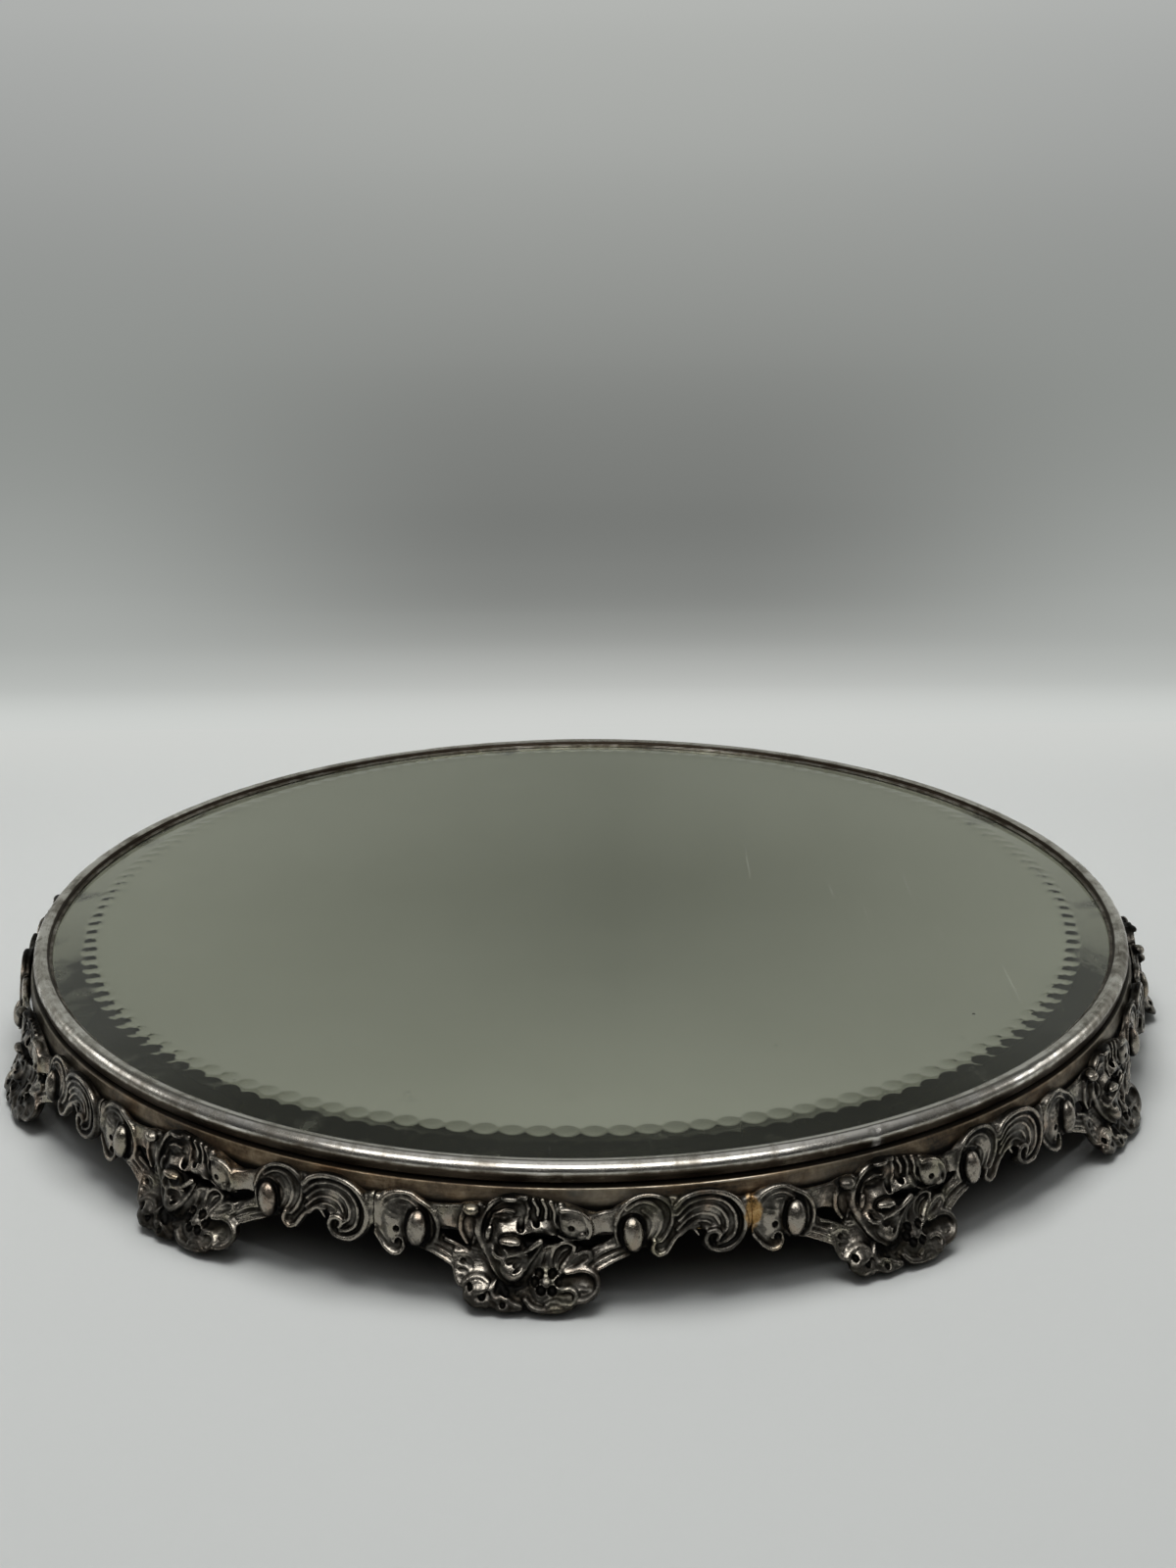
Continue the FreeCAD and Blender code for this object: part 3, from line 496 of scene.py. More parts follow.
def surface_nets(values, low, step):
    """Points and quads on the zero surface of a field."""
    negative = values < 0
    cells = tuple(n - 1 for n in values.shape)
    count = np.zeros(cells, np.int8)
    for corner in CORNERS:
        count += negative[tuple(slice(c, c + n) for c, n in zip(corner, cells))]
    active = np.nonzero((count > 0) & (count < 8))
    total = len(active[0])
    ids = np.full(cells, -1, np.int64)
    ids[active] = np.arange(total)
    base = np.stack(active, 1)
    at_corner = {c: values[tuple((base + c).T)].astype(np.float64) for c in CORNERS}

    # each point is the mean of the crossings on its cell's edges
    crossings = np.zeros((total, 3), np.float64)
    number = np.zeros(total)
    for axis in range(3):
        for start in (c for c in CORNERS if c[axis] == 0):
            end = tuple(1 if i == axis else start[i] for i in range(3))
            first, second = at_corner[start], at_corner[end]
            crossed = (first < 0) != (second < 0)
            share = np.where(crossed, first / np.where(crossed, first - second, 1), 0)
            point = np.tile(np.array(start, float), (total, 1))
            point[:, axis] = share
            crossings[crossed] += point[crossed]
            number[crossed] += 1
    points = low + step * (base + crossings / number[:, None])

    quads = []
    for axis in range(3):
        a, b = [i for i in range(3) if i != axis]
        edges = np.argwhere(np.diff(negative, axis=axis))
        within = (edges[:, a] > 0) & (edges[:, b] > 0)
        within &= (edges[:, a] < values.shape[a] - 1) & (edges[:, b] < values.shape[b] - 1)
        edges = edges[within]
        shift_a, shift_b = np.eye(3, dtype=int)[[a, b]]
        shifts = (shift_a + shift_b, shift_b, 0, shift_a)
        quad = np.stack([ids[tuple((edges - shift).T)] for shift in shifts], 1)
        turned = negative[tuple(edges.T)] == (axis == 1)
        quad[turned] = quad[turned][:, ::-1]
        quads.append(quad)
    return points, np.vstack(quads)


def casting_field(step):
    """The whole relief of a casting."""
    field = Field(step)
    across, up = np.meshgrid(field.axes[0], field.axes[2], indexing="ij")
    across = across.astype(np.float32)
    up = up.astype(np.float32)
    edge = smooth_min(
        polygon_distance(SHEET, across, up), polygon_distance(FOOT, across, up), 1.5
    )
    for hole in HOLES:
        edge = smooth_max(edge, -polygon_distance(hole, across, up), 0.8)

    # the sheet thins to its edges and rises to meet the relief
    ridges = [stroke_points(*ridge) for ridge in RIDGES]
    front = 1.45 + 0.40 * np.clip(-edge / 3.0, 0, 1)
    flanks = field.flanks(across, up, [ridge - [0, 0, 0.2, 0] for ridge in ridges])
    front = smooth_max(front, np.minimum(flanks, front + 2.6), 0.8)
    slab = np.maximum(0.15 - field.lift, field.lift - front[:, None, :]).astype(np.float32)
    field.values = smooth_max(slab, edge[:, None, :].astype(np.float32), 0.9)
    field.values = field.values.astype(np.float32)

    for dome in DOMES:
        field.dome(*dome)
    for ridge in ridges:
        # sunk a little and slimmed
        field.stroke(ridge * [1, 1, 1, 0.94] - [0, 0, 0.28, 0], blend=0.6)
    for groove in GROOVES:
        field.stroke(stroke_points(*groove), blend=0.5, cut=True)
    for along, z, lift, radius in PITS:
        field.dome(along, z, lift, radius, radius * 1.2, radius, turn=0, blend=0.25, cut=True)
    for along, z, half_along, half_up in SOLDER_DOMES:
        field.dome(along, z, 1.3, half_along, 1.35, half_up, turn=0, blend=0.8)

    # slow unevenness and fine pitting
    rng = np.random.default_rng(7)
    slow = smooth_noise(field.shape, 3.2 / step, rng) * 0.10
    field.values += slow + smooth_noise(field.shape, 1.1 / step, rng) * 0.045

    # nothing below the table or inside the band, flat ends at the joints
    x = field.axes[0][:, None, None]
    out = field.axes[1][None, :, None]
    z = field.axes[2][None, None, :]
    for limit in (-z, 0.12 - out, x - RIGHT_END, LEFT_END - x):
        field.values = np.maximum(field.values, limit.astype(np.float32))
    return field


def casting_mesh(step):
    """Points in (along, out, z), quads, and cavity, ridge and solder values by point."""
    field = casting_field(step)
    points, quads = surface_nets(field.values, field.low, step)
    for _ in range(2):       # pull the points onto the surface
        normal, steepness = field.normal(points)
        shift = field.sample(points) / np.maximum(steepness, 0.35)
        points = points - normal * shift.clip(-0.5 * step, 0.5 * step)[:, None]
    normal, _ = field.normal(points)
    # how closed in each point is, over three reaches, each with its weight
    cavity = np.clip(sum(
        weight * np.clip(1 - field.sample(points + normal * reach) / reach, 0, 1)
        for reach, weight in ((0.8, 0.45), (2.2, 0.45), (4.5, 0.35))
    ), 0, 1)
    ridge = np.clip(1 + field.sample(points - normal * 0.7) / 0.7, 0, 1)
    x, z = points[:, 0], points[:, 2]
    left = np.clip(1.2 - np.hypot(x - LEFT_END, (z - 24.5) * 0.55) / 4.0, 0, 1)
    right = np.clip(1.2 - np.hypot(x - RIGHT_END, (z - 25.0) * 0.5) / 3.6, 0, 1)
    return points, quads, cavity, ridge, np.maximum(left, right)


# ---------------------------------------------------------------- mesh helpers
def new_object(name, points, faces, materials, attributes=None):
    """Smooth mesh object from points in metres and a list of face arrays."""
    mesh = bpy.data.meshes.new(name)
    mesh.vertices.add(len(points))
    mesh.vertices.foreach_set("co", np.asarray(points, np.float32).ravel())
    corners = np.concatenate([f.ravel() for f in faces]).astype(np.int32)
    mesh.loops.add(len(corners))
    mesh.loops.foreach_set("vertex_index", corners)
    sizes = np.concatenate([np.full(len(f), f.shape[1], np.int32) for f in faces])
    mesh.polygons.add(len(sizes))
    mesh.polygons.foreach_set("loop_start", (np.cumsum(sizes) - sizes).astype(np.int32))
    mesh.polygons.foreach_set("loop_total", sizes)
    mesh.update(calc_edges=True)
    mesh.validate()
    mesh.polygons.foreach_set("use_smooth", np.full(len(mesh.polygons), True))
    for key, values in (attributes or {}).items():
        attribute = mesh.attributes.new(key, "FLOAT", "POINT")
        attribute.data.foreach_set("value", np.asarray(values, np.float32))
    mesh.update()
    piece = bpy.data.objects.new(name, mesh)
    bpy.context.scene.collection.objects.link(piece)
    for material in materials:
        mesh.materials.append(material)
    return piece


def place(piece, cad_name, body, slot):
    """Puts a piece in place of a CAD node, on a body of the frame."""
    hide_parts(cad_name)
    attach(piece, body)


def polar(angle, radius, z):
    """Points round the axis; angle 0 is at -Y and grows towards +X."""
    x, y = radius * np.sin(angle), -radius * np.cos(angle)
    return np.stack(np.broadcast_arrays(x, y, z), -1)


def lathe(name, rings, material, attributes):
    """Closed ring from an array (profile points, segments, 3) in mm."""
    grid = np.arange(rings.shape[0] * rings.shape[1]).reshape(rings.shape[:2])
    after = np.roll(grid, -1, 0)
    quads = np.stack([grid, np.roll(grid, -1, 1), np.roll(after, -1, 1), after], -1)
    points = rings.reshape(-1, 3) / 1000
    return new_object(name, points, [quads.reshape(-1, 4)], [material], attributes)


def resample(profile, steps):
    """Points along a closed profile, no further apart than each side's step."""
    corners = np.array(profile, float)
    points = []
    for start, end, step in zip(corners, np.roll(corners, -1, 0), steps):
        count = max(1, int(np.ceil(np.linalg.norm(end - start) / step)))
        for j in range(count):
            points.append(start + (end - start) * j / count)
    return np.array(points)


def ring_noise(angle, seed):
    """Smooth periodic wobble, roughly -1..1."""
    rng = np.random.default_rng(seed)
    total = np.zeros_like(angle)
    for waves, size in ((3, 1.0), (7, 0.5), (17, 0.3), (41, 0.15)):
        for k in range(3):
            height = size * rng.uniform(0.3, 1)
            total += height * np.sin((waves + k) * angle + rng.uniform(0, 6.28))
    return total / 2.2


# ---------------------------------------------------------------- node helpers
def math_node(operation):
    """Method that adds a math node of the given operation."""
    def method(self, other=0.0, clamp=False):
        return self.graph.node(
            "Math", self, other, 0.0, operation=operation, use_clamp=clamp
        )
    return method


class Signal:
    """A node's output; arithmetic on it adds math nodes."""

    def __init__(self, graph, socket):
        self.graph = graph
        self.socket = socket

    __add__ = plus = math_node("ADD")
    __sub__ = math_node("SUBTRACT")
    __mul__ = math_node("MULTIPLY")
    __truediv__ = over = math_node("DIVIDE")
    __abs__ = math_node("ABSOLUTE")
    root = math_node("SQRT")
    larger = math_node("MAXIMUM")

    def remap(self, span, to=(0.0, 1.0), smooth=False):
        """Carries span onto to, clamped."""
        mode = "SMOOTHSTEP" if smooth else "LINEAR"
        return self.graph.node("MapRange", self, *span, *to, interpolation_type=mode)

    def ramp(self, stops, mode="LINEAR"):
        """Colour ramp; stops are (position, colour)."""
        colour = self.graph.node("ValToRGB", self)
        band = colour.socket.node.color_ramp
        band.interpolation = mode
        while len(band.elements) < len(stops):
            band.elements.new(0.5)
        for element, (position, rgb) in zip(band.elements, stops):
            element.position = position
            element.color = (*rgb, 1)
        return colour


class Graph:
    """A shader node tree."""

    def __init__(self, tree, output):
        self.tree = tree
        tree.nodes.clear()
        self.end = tree.nodes.new(output).inputs["Surface"]

    def put(self, socket, value):
        if isinstance(value, Signal):
            self.tree.links.new(value.socket, socket)
        elif socket.type == "RGBA":
            socket.default_value = (*value, 1)
        else:
            socket.default_value = value

    def node(self, kind, *inputs, output=0, **named):
        """Adds a node. Inputs go in by position, None leaving one alone, or by a capitalised
        keyword with _ for a space; keywords in lower case are the node's settings."""
        node = self.tree.nodes.new("ShaderNode" + kind)
        for socket, value in zip(node.inputs, inputs):
            if value is not None:
                self.put(socket, value)
        for key, value in named.items():
            if key[0].islower():
                setattr(node, key, value)
            else:
                self.put(node.inputs[key.replace("_", " ")], value)
        return Signal(self, node.outputs[output])

    def outputs(self, kind, names, *inputs):
        """Several outputs of one new node."""
        node = self.node(kind, *inputs).socket.node
        return [Signal(self, node.outputs[name]) for name in names]

    def mix(self, factor, first, second, blend="MIX"):
        # the colour inputs follow five for other kinds of value
        return self.node(
            "Mix", factor, *[None] * 5, first, second,
            output=2, data_type="RGBA", blend_type=blend,
        )

    def tint(self, amount, base, colour):
        return self.mix(amount, base, self.mix(1.0, base, colour, "MULTIPLY"))


class Material(Graph):
    """A material's node tree, with textures in object coordinates."""

    def __init__(self, name):
        self.material = bpy.data.materials.new(name)
        self.material.use_nodes = True
        super().__init__(self.material.node_tree, "ShaderNodeOutputMaterial")
        self.position = self.node("TexCoord", output="Object")

    def attribute(self, name):
        return self.node("Attribute", output="Fac", attribute_name=name)

    def xyz(self):
        return self.outputs("SeparateXYZ", "XYZ", self.position)

    def mapped(self, scale=(1, 1, 1), shift=(0, 0, 0), turn=(0, 0, 0), at=None):
        return self.node(
            "Mapping", Vector=at or self.position, Scale=scale, Location=shift, Rotation=turn
        )

    def noise(self, scale, detail=3.0, rough=0.6, distortion=0.0, at=None):
        return self.node(
            "TexNoise", output="Fac", Vector=at or self.position, Scale=scale,
            Detail=detail, Roughness=rough, Distortion=distortion,
        )

    def voronoi(self, scale):
        return self.node("TexVoronoi", output="Distance", Vector=self.position, Scale=scale)

    def bump(self, height, strength, distance):
        return self.node("Bump", Height=height, Strength=strength, Distance=distance)

    def surface(self, shader):
        self.put(self.end, shader)
        return self.material

    def principled(self, **inputs):
        return self.surface(self.node("BsdfPrincipled", **inputs))


def srgb(*levels):
    """Linear colour from 8-bit sRGB levels."""
    return tuple(
        (c / 255) / 12.92 if c <= 10 else ((c / 255 + 0.055) / 1.055) ** 2.4 for c in levels
    )


def radius_of(x, y):
    return (x * x + y * y).root()


def ring_vector(mat, along, up):
    """Vector long round the axis and fine across it, for marks left by turning; and z."""
    x, y, z = mat.xyz()
    radius = radius_of(x, y)
    vector = mat.node(
        "CombineXYZ", x / radius * along, y / radius * along, z * up + radius * (up * 0.83)
    )
    return vector, z


# ---------------------------------------------------------------- materials
# Weights in a sum are each texture's share in it; 0.5 is taken off to centre a noise.
def cast_silver():
    mat = Material("cast_silver")
    broad = mat.noise(scale=38)
    middle = mat.noise(scale=170, detail=4)
    fine = mat.noise(scale=900)
    # hollows hold black, high points are rubbed bright, and the metal is darker towards
    # the bottom
    darkening = mat.attribute("cav") * 1.2 + (middle - 0.5) * 0.75 + (broad - 0.5) * 0.55
    darkening = darkening - mat.attribute("ridge").remap(span=(0.25, 0.8)) * 0.32
    # darker towards the bottom
    darkening = darkening + mat.xyz()[2].remap(span=(0.006, 0.018), to=(0.16, 0.0))
    darkening = darkening + (fine - 0.5) * 0.25
    base = darkening.ramp([
        (0.0, (0.32, 0.29, 0.245)), (0.08, (0.130, 0.119, 0.102)),
        (0.20, (0.058, 0.054, 0.047)), (0.36, (0.022, 0.019, 0.015)),
        (0.60, (0.003, 0.0026, 0.0020)),
    ])
    warm = mat.noise(scale=62, detail=4, rough=0.65, distortion=0.4).remap(span=(0.54, 0.72))
    base = mat.tint(warm * 0.55, base, (1.0, 0.70, 0.52))
    olive = mat.noise(scale=75, at=mat.mapped(shift=(3, 7, 1))).remap(span=(0.55, 0.72))
    base = mat.tint(olive * 0.5, base, (0.88, 0.92, 0.66))
    gold = mat.noise(scale=420, detail=4, rough=0.65).ramp([
        (0.25, (0.10, 0.055, 0.018)), (0.5, (0.34, 0.20, 0.075)), (0.75, (0.60, 0.42, 0.20)),
    ])
    solder = mat.attribute("solder") + (middle - 0.5) * 0.9
    base = mat.mix(solder.remap(span=(0.42, 0.62)), base, gold)
    rough = darkening.remap(span=(0.0, 0.45), to=(0.26, 0.52))
    grain = mat.noise(scale=600, detail=4) * 0.6
    grain = grain + mat.noise(scale=1900, detail=2, rough=0.5) * 0.4
    return mat.principled(
        Base_Color=base,
        Metallic=darkening.remap(span=(0.45, 0.95), to=(1.0, 0.45)),
        Roughness=rough.plus((fine - 0.5) * 0.25, clamp=True),
        Specular_IOR_Level=0.12,
        Normal=mat.bump(grain, strength=0.35, distance=0.0004),
    )


def rolled_silver():
    mat = Material("rolled_silver")
    streak, _ = ring_vector(mat, along=3.0, up=190.0)
    cloud, _ = ring_vector(mat, along=9.0, up=60.0)
    lines = mat.noise(scale=9, detail=5, at=streak)
    patch = mat.noise(scale=26, detail=4, rough=0.62, distortion=0.6)
    clouds = mat.noise(scale=3.2, detail=5, rough=0.65, at=cloud)
    spots = mat.noise(scale=240, detail=4, rough=0.7)
    # painted shade low on the outside of the bead and at its inner edge; tarnish grows
    # towards the two sides
    tarnish = mat.attribute("bead_shade") * 0.95 + (patch - 0.46) * 1.15 + (clouds - 0.48) * 1.05
    tarnish = tarnish + (lines - 0.5) * 0.55 + (spots - 0.5) * 0.50
    tarnish = tarnish + abs(mat.xyz()[0]).remap(span=(0.12, 0.19), to=(0.0, 0.10))
    base = tarnish.ramp([
        (0.0, (0.86, 0.83, 0.77)), (0.20, (0.60, 0.57, 0.51)), (0.38, (0.33, 0.305, 0.262)),
        (0.60, (0.15, 0.128, 0.098)), (0.85, (0.050, 0.038, 0.027)),
    ])
    rough = tarnish.remap(span=(0.0, 0.75), to=(0.17, 0.46))
    grain = lines * 0.5 + mat.noise(scale=420) * 0.5
    return mat.principled(
        Base_Color=mat.mix(mat.attribute("nick"), base, (0.80, 0.77, 0.72)),
        Metallic=1.0,
        Roughness=rough.plus((lines - 0.5) * 0.16, clamp=True),
        Normal=mat.bump(grain, strength=0.12, distance=0.0003),
    )


def band_silver():
    mat = Material("band_silver")
    streak, z = ring_vector(mat, along=3.5, up=150.0)
    lines = mat.noise(scale=8, detail=5, rough=0.65, at=streak)
    patch = mat.noise(scale=55, detail=5, rough=0.65, distortion=0.8)
    fine = mat.noise(scale=520, detail=4, rough=0.7)
    tarnish = lines * 0.45 + (patch * 1.0 - 0.17) + (fine - 0.5) * 0.35
    # less tarnish where the upper edge has wear and a painted highlight
    tarnish = tarnish - mat.attribute("edge_wear_and_highlight") * 0.45
    base = tarnish.ramp([
        (0.12, (0.62, 0.55, 0.44)), (0.30, (0.38, 0.312, 0.222)),
        (0.46, (0.235, 0.178, 0.114)), (0.60, (0.130, 0.090, 0.054)),
        (0.76, (0.030, 0.022, 0.014)),
    ])
    gold = mat.noise(scale=30).remap(span=(0.56, 0.68))
    base = mat.tint(gold * 0.45, base, (1.25, 0.86, 0.50))
    # mottled grey in patches and towards the two sides
    grey = mat.noise(scale=17, at=mat.mapped(shift=(2, 0, 0))).remap(span=(0.48, 0.62))
    sides = abs(mat.xyz()[0]).remap(span=(0.105, 0.185), to=(0.0, 0.8))
    mottle = mat.noise(scale=90, detail=4, rough=0.7, distortion=0.5).remap(span=(0.35, 0.65))
    mottled = mat.mix(mottle, (0.055, 0.052, 0.042), (0.26, 0.247, 0.205))
    base = mat.mix((grey * 0.5).larger(sides), base, mottled)
    # painted shade: dark along the top, tucked under the bead, and along the bottom,
    # behind the castings
    top = z.remap(span=(0.0336, 0.0337))
    base = mat.mix(top * 0.85, base, (0.018, 0.014, 0.010))
    bottom = z.remap(span=(0.0284, 0.0302), to=(1.0, 0.0))
    base = mat.mix(bottom * 0.92, base, (0.010, 0.009, 0.008))
    return mat.principled(
        Base_Color=base,
        Metallic=tarnish.remap(span=(0.40, 0.75), to=(1.0, 0.7)),
        Roughness=tarnish.remap(span=(0.2, 0.7), to=(0.30, 0.58)),
        Normal=mat.bump(lines * 0.6 + fine * 0.5, strength=0.3, distance=0.0004),
    )


def mirror_glass():
    mat = Material("mirror_glass")
    # sparse fine scratches in three directions
    scratches = None
    for i, (angle, scale) in enumerate(((0.35, 644), (1.25, 868), (2.2, 700))):
        drawn = mat.mapped(scale=(1.0, 0.018, 1.0), turn=(0, 0, angle), shift=(i * 3.1, i, 0))
        marks = mat.noise(scale, detail=2, rough=0.5, at=drawn).remap(span=(0.735, 0.76))
        gate = mat.noise(scale=11, detail=2, rough=0.5, at=mat.mapped(shift=(i, 2 * i, 0)))
        marks = marks * gate.remap(span=(0.5, 0.62))
        scratches = scratches.larger(marks) if scratches else marks
    smear = mat.noise(scale=9, detail=4, at=mat.mapped(scale=(1, 0.35, 1), turn=(0, 0, 0.5)))
    glass = mat.node(
        "BsdfGlass", Color=(0.962, 0.972, 0.940), IOR=1.55,
        Roughness=smear.remap(span=(0.45, 0.8), to=(0.0, 0.035)) + scratches * 0.12,
    )
    # a thin veil of dust, a little thicker towards the rim
    dust = mat.node("BsdfDiffuse", Color=(0.60, 0.62, 0.52))
    specks = mat.voronoi(scale=330).remap(span=(0.0, 0.085), to=(1.0, 0.0))
    some = mat.noise(scale=23, detail=2, rough=0.5).remap(span=(0.55, 0.66))
    veil = specks * some * 0.35 + smear.remap(span=(0.3, 0.8), to=(0.004, 0.022))
    x, y, _ = mat.xyz()
    veil = veil + radius_of(x, y).remap(span=(0.182, 0.186)) * 0.021
    veil = veil.plus(scratches * 0.10, clamp=True)
    return mat.surface(mat.node("MixShader", veil, glass, dust))


def mirror_silvering():
    mat = Material("mirror_silvering")
    x, y, _ = mat.xyz()
    radius = radius_of(x, y)
    rim = radius.remap(span=(0.176, 0.198))
    # pin holes and blooms where the silver has gone
    size = mat.noise(scale=60, detail=2, rough=0.5).remap(span=(0.55, 0.8), to=(0.0, 0.17))
    holes = (mat.voronoi(scale=130) - size).remap(span=(-0.02, 0.02), to=(1.0, 0.0))
    some = mat.noise(scale=16, detail=2, at=mat.mapped(shift=(5, 1, 0)))
    holes = holes * some.remap(span=(0.46, 0.58))
    bloom = mat.noise(scale=42, detail=5, rough=0.68, distortion=0.5) + rim * 0.18
    bloom = bloom.remap(span=(0.66, 0.80)) * radius.remap(span=(0.150, 0.180)) * 0.75
    black = holes.larger(bloom)
    haze = mat.noise(scale=7, detail=4)
    tone = mat.mix(haze.remap(span=(0.3, 0.7)), (0.60, 0.605, 0.52), (0.66, 0.665, 0.585))
    tone = mat.mix(rim * 0.35, tone, (0.50, 0.48, 0.36))
    return mat.principled(
        Base_Color=mat.mix(black, tone, (0.030, 0.028, 0.020)),
        Metallic=1.0,
        Roughness=haze.remap(span=(0.3, 0.75), to=(0.012, 0.045)) + black * 0.4,
    )


def felt():
    mat = Material("felt")
    fluff = mat.noise(scale=1400, detail=4, rough=0.7)
    layers = mat.noise(scale=240, detail=4, at=mat.mapped(scale=(1, 1, 6)))
    tone = fluff * 0.6 + layers * 0.4
    return mat.principled(
        Base_Color=tone.ramp([(0.3, (0.010, 0.016, 0.012)), (0.7, (0.045, 0.065, 0.050))]),
        Roughness=0.95,
        Sheen_Weight=0.4,
        Normal=mat.bump(fluff, strength=0.6, distance=0.0008),
    )


def wood(name, dark, light, seed):
    """Grained wood; the seed turns and shifts the grain."""
    mat = Material(name)
    board = mat.mapped(turn=(0, 0, 0.35 * seed), shift=(seed * 1.7, seed, 0))
    warp = mat.noise(scale=4, detail=4, at=mat.mapped(scale=(0.6, 6, 6), at=board))
    stretched = mat.mapped(scale=(0.35, 7.5, 7.5), at=board)
    bend = mat.node("CombineXYZ", Y=warp * 0.35)
    grain = mat.node(
        "TexWave", output="Fac", wave_type="BANDS", bands_direction="Y",
        Vector=mat.node("VectorMath", stretched, bend, operation="ADD"),
        Scale=3.2, Distortion=2.2, Detail=3,
    )
    pores = mat.noise(scale=9, at=mat.mapped(scale=(4, 160, 160), at=board))
    stain = mat.noise(scale=9, detail=4, at=board)
    base = grain.ramp([(0.15, dark), (0.8, light)])
    pore_share = pores.remap(span=(0.55, 0.75), to=(0, 0.55))
    base = mat.mix(pore_share, base, tuple(c * 0.45 for c in dark))
    stain_share = stain.remap(span=(0.45, 0.75), to=(0, 0.4))
    base = mat.mix(stain_share, base, tuple(c * 0.6 for c in dark))
    return mat.principled(
        Base_Color=base,
        Roughness=pores.remap(span=(0.3, 0.8), to=(0.5, 0.75)),
        Normal=mat.bump(pores * -0.7 + grain * 0.3, strength=0.4, distance=0.0006),
    )


def metal(name, light, dark, rough, scale, spots, brushed=False):
    """Clouded metal with stains; brushed metal has lines round the axis."""
    mat = Material(name)
    if brushed:
        vector, _ = ring_vector(mat, along=4.0, up=420.0)
        fine = mat.noise(scale=7, detail=4, at=vector)
    else:
        fine = mat.noise(scale, detail=4)
    broad = mat.noise(scale * 0.28, detail=4, rough=0.65, distortion=0.5)
    base = (fine * 0.5 + broad * 0.5).ramp([(0.30, dark), (0.65, light)])
    stain = mat.noise(scale * 0.6, detail=5, rough=0.7).remap(span=(0.60, 0.72))
    return mat.principled(
        Base_Color=mat.mix(stain * 0.75, base, spots),
        Metallic=stain.remap(span=(0, 1), to=(1.0, 0.6)),
        Roughness=fine.remap(span=(0.3, 0.7), to=rough),
        Normal=mat.bump(fine, strength=0.15, distance=0.0003),
    )


def fibre():
    mat = Material("fibre_washer")
    grain = mat.noise(scale=700, detail=4, rough=0.65)
    return mat.principled(
        Base_Color=grain.ramp([(0.3, (0.12, 0.028, 0.015)), (0.7, (0.27, 0.075, 0.045))]),
        Roughness=grain.remap(span=(0.3, 0.7), to=(0.5, 0.8)),
        Normal=mat.bump(grain, strength=0.3, distance=0.0003),
    )


# ---------------------------------------------------------------- pieces
def build_castings():
    silver = cast_silver()
    points, quads, cavity, ridge, solder = casting_mesh(GRID_STEP)
    for k in range(CASTING_COUNT):
        angle = math.radians(FOOT_ANGLE + PITCH * k) + points[:, 0] / TRUE_RADIUS
        left, right = SOLDER[k], SOLDER[(k + 1) % CASTING_COUNT]
        name = "casting_%02d" % (k + 1)
        piece = new_object(
            name, polar(angle, BACK_RADIUS + points[:, 1], points[:, 2]) / 1000,
            [quads], [silver],
            {"cav": cavity, "ridge": ridge,
             "solder": solder * np.where(points[:, 0] < 0, left, right)},
        )
        place(piece, "gallery_" + name, "base", "cast_silver")


RING_ANGLES = np.linspace(0, 2 * math.pi, RING_SEGMENTS, endpoint=False)


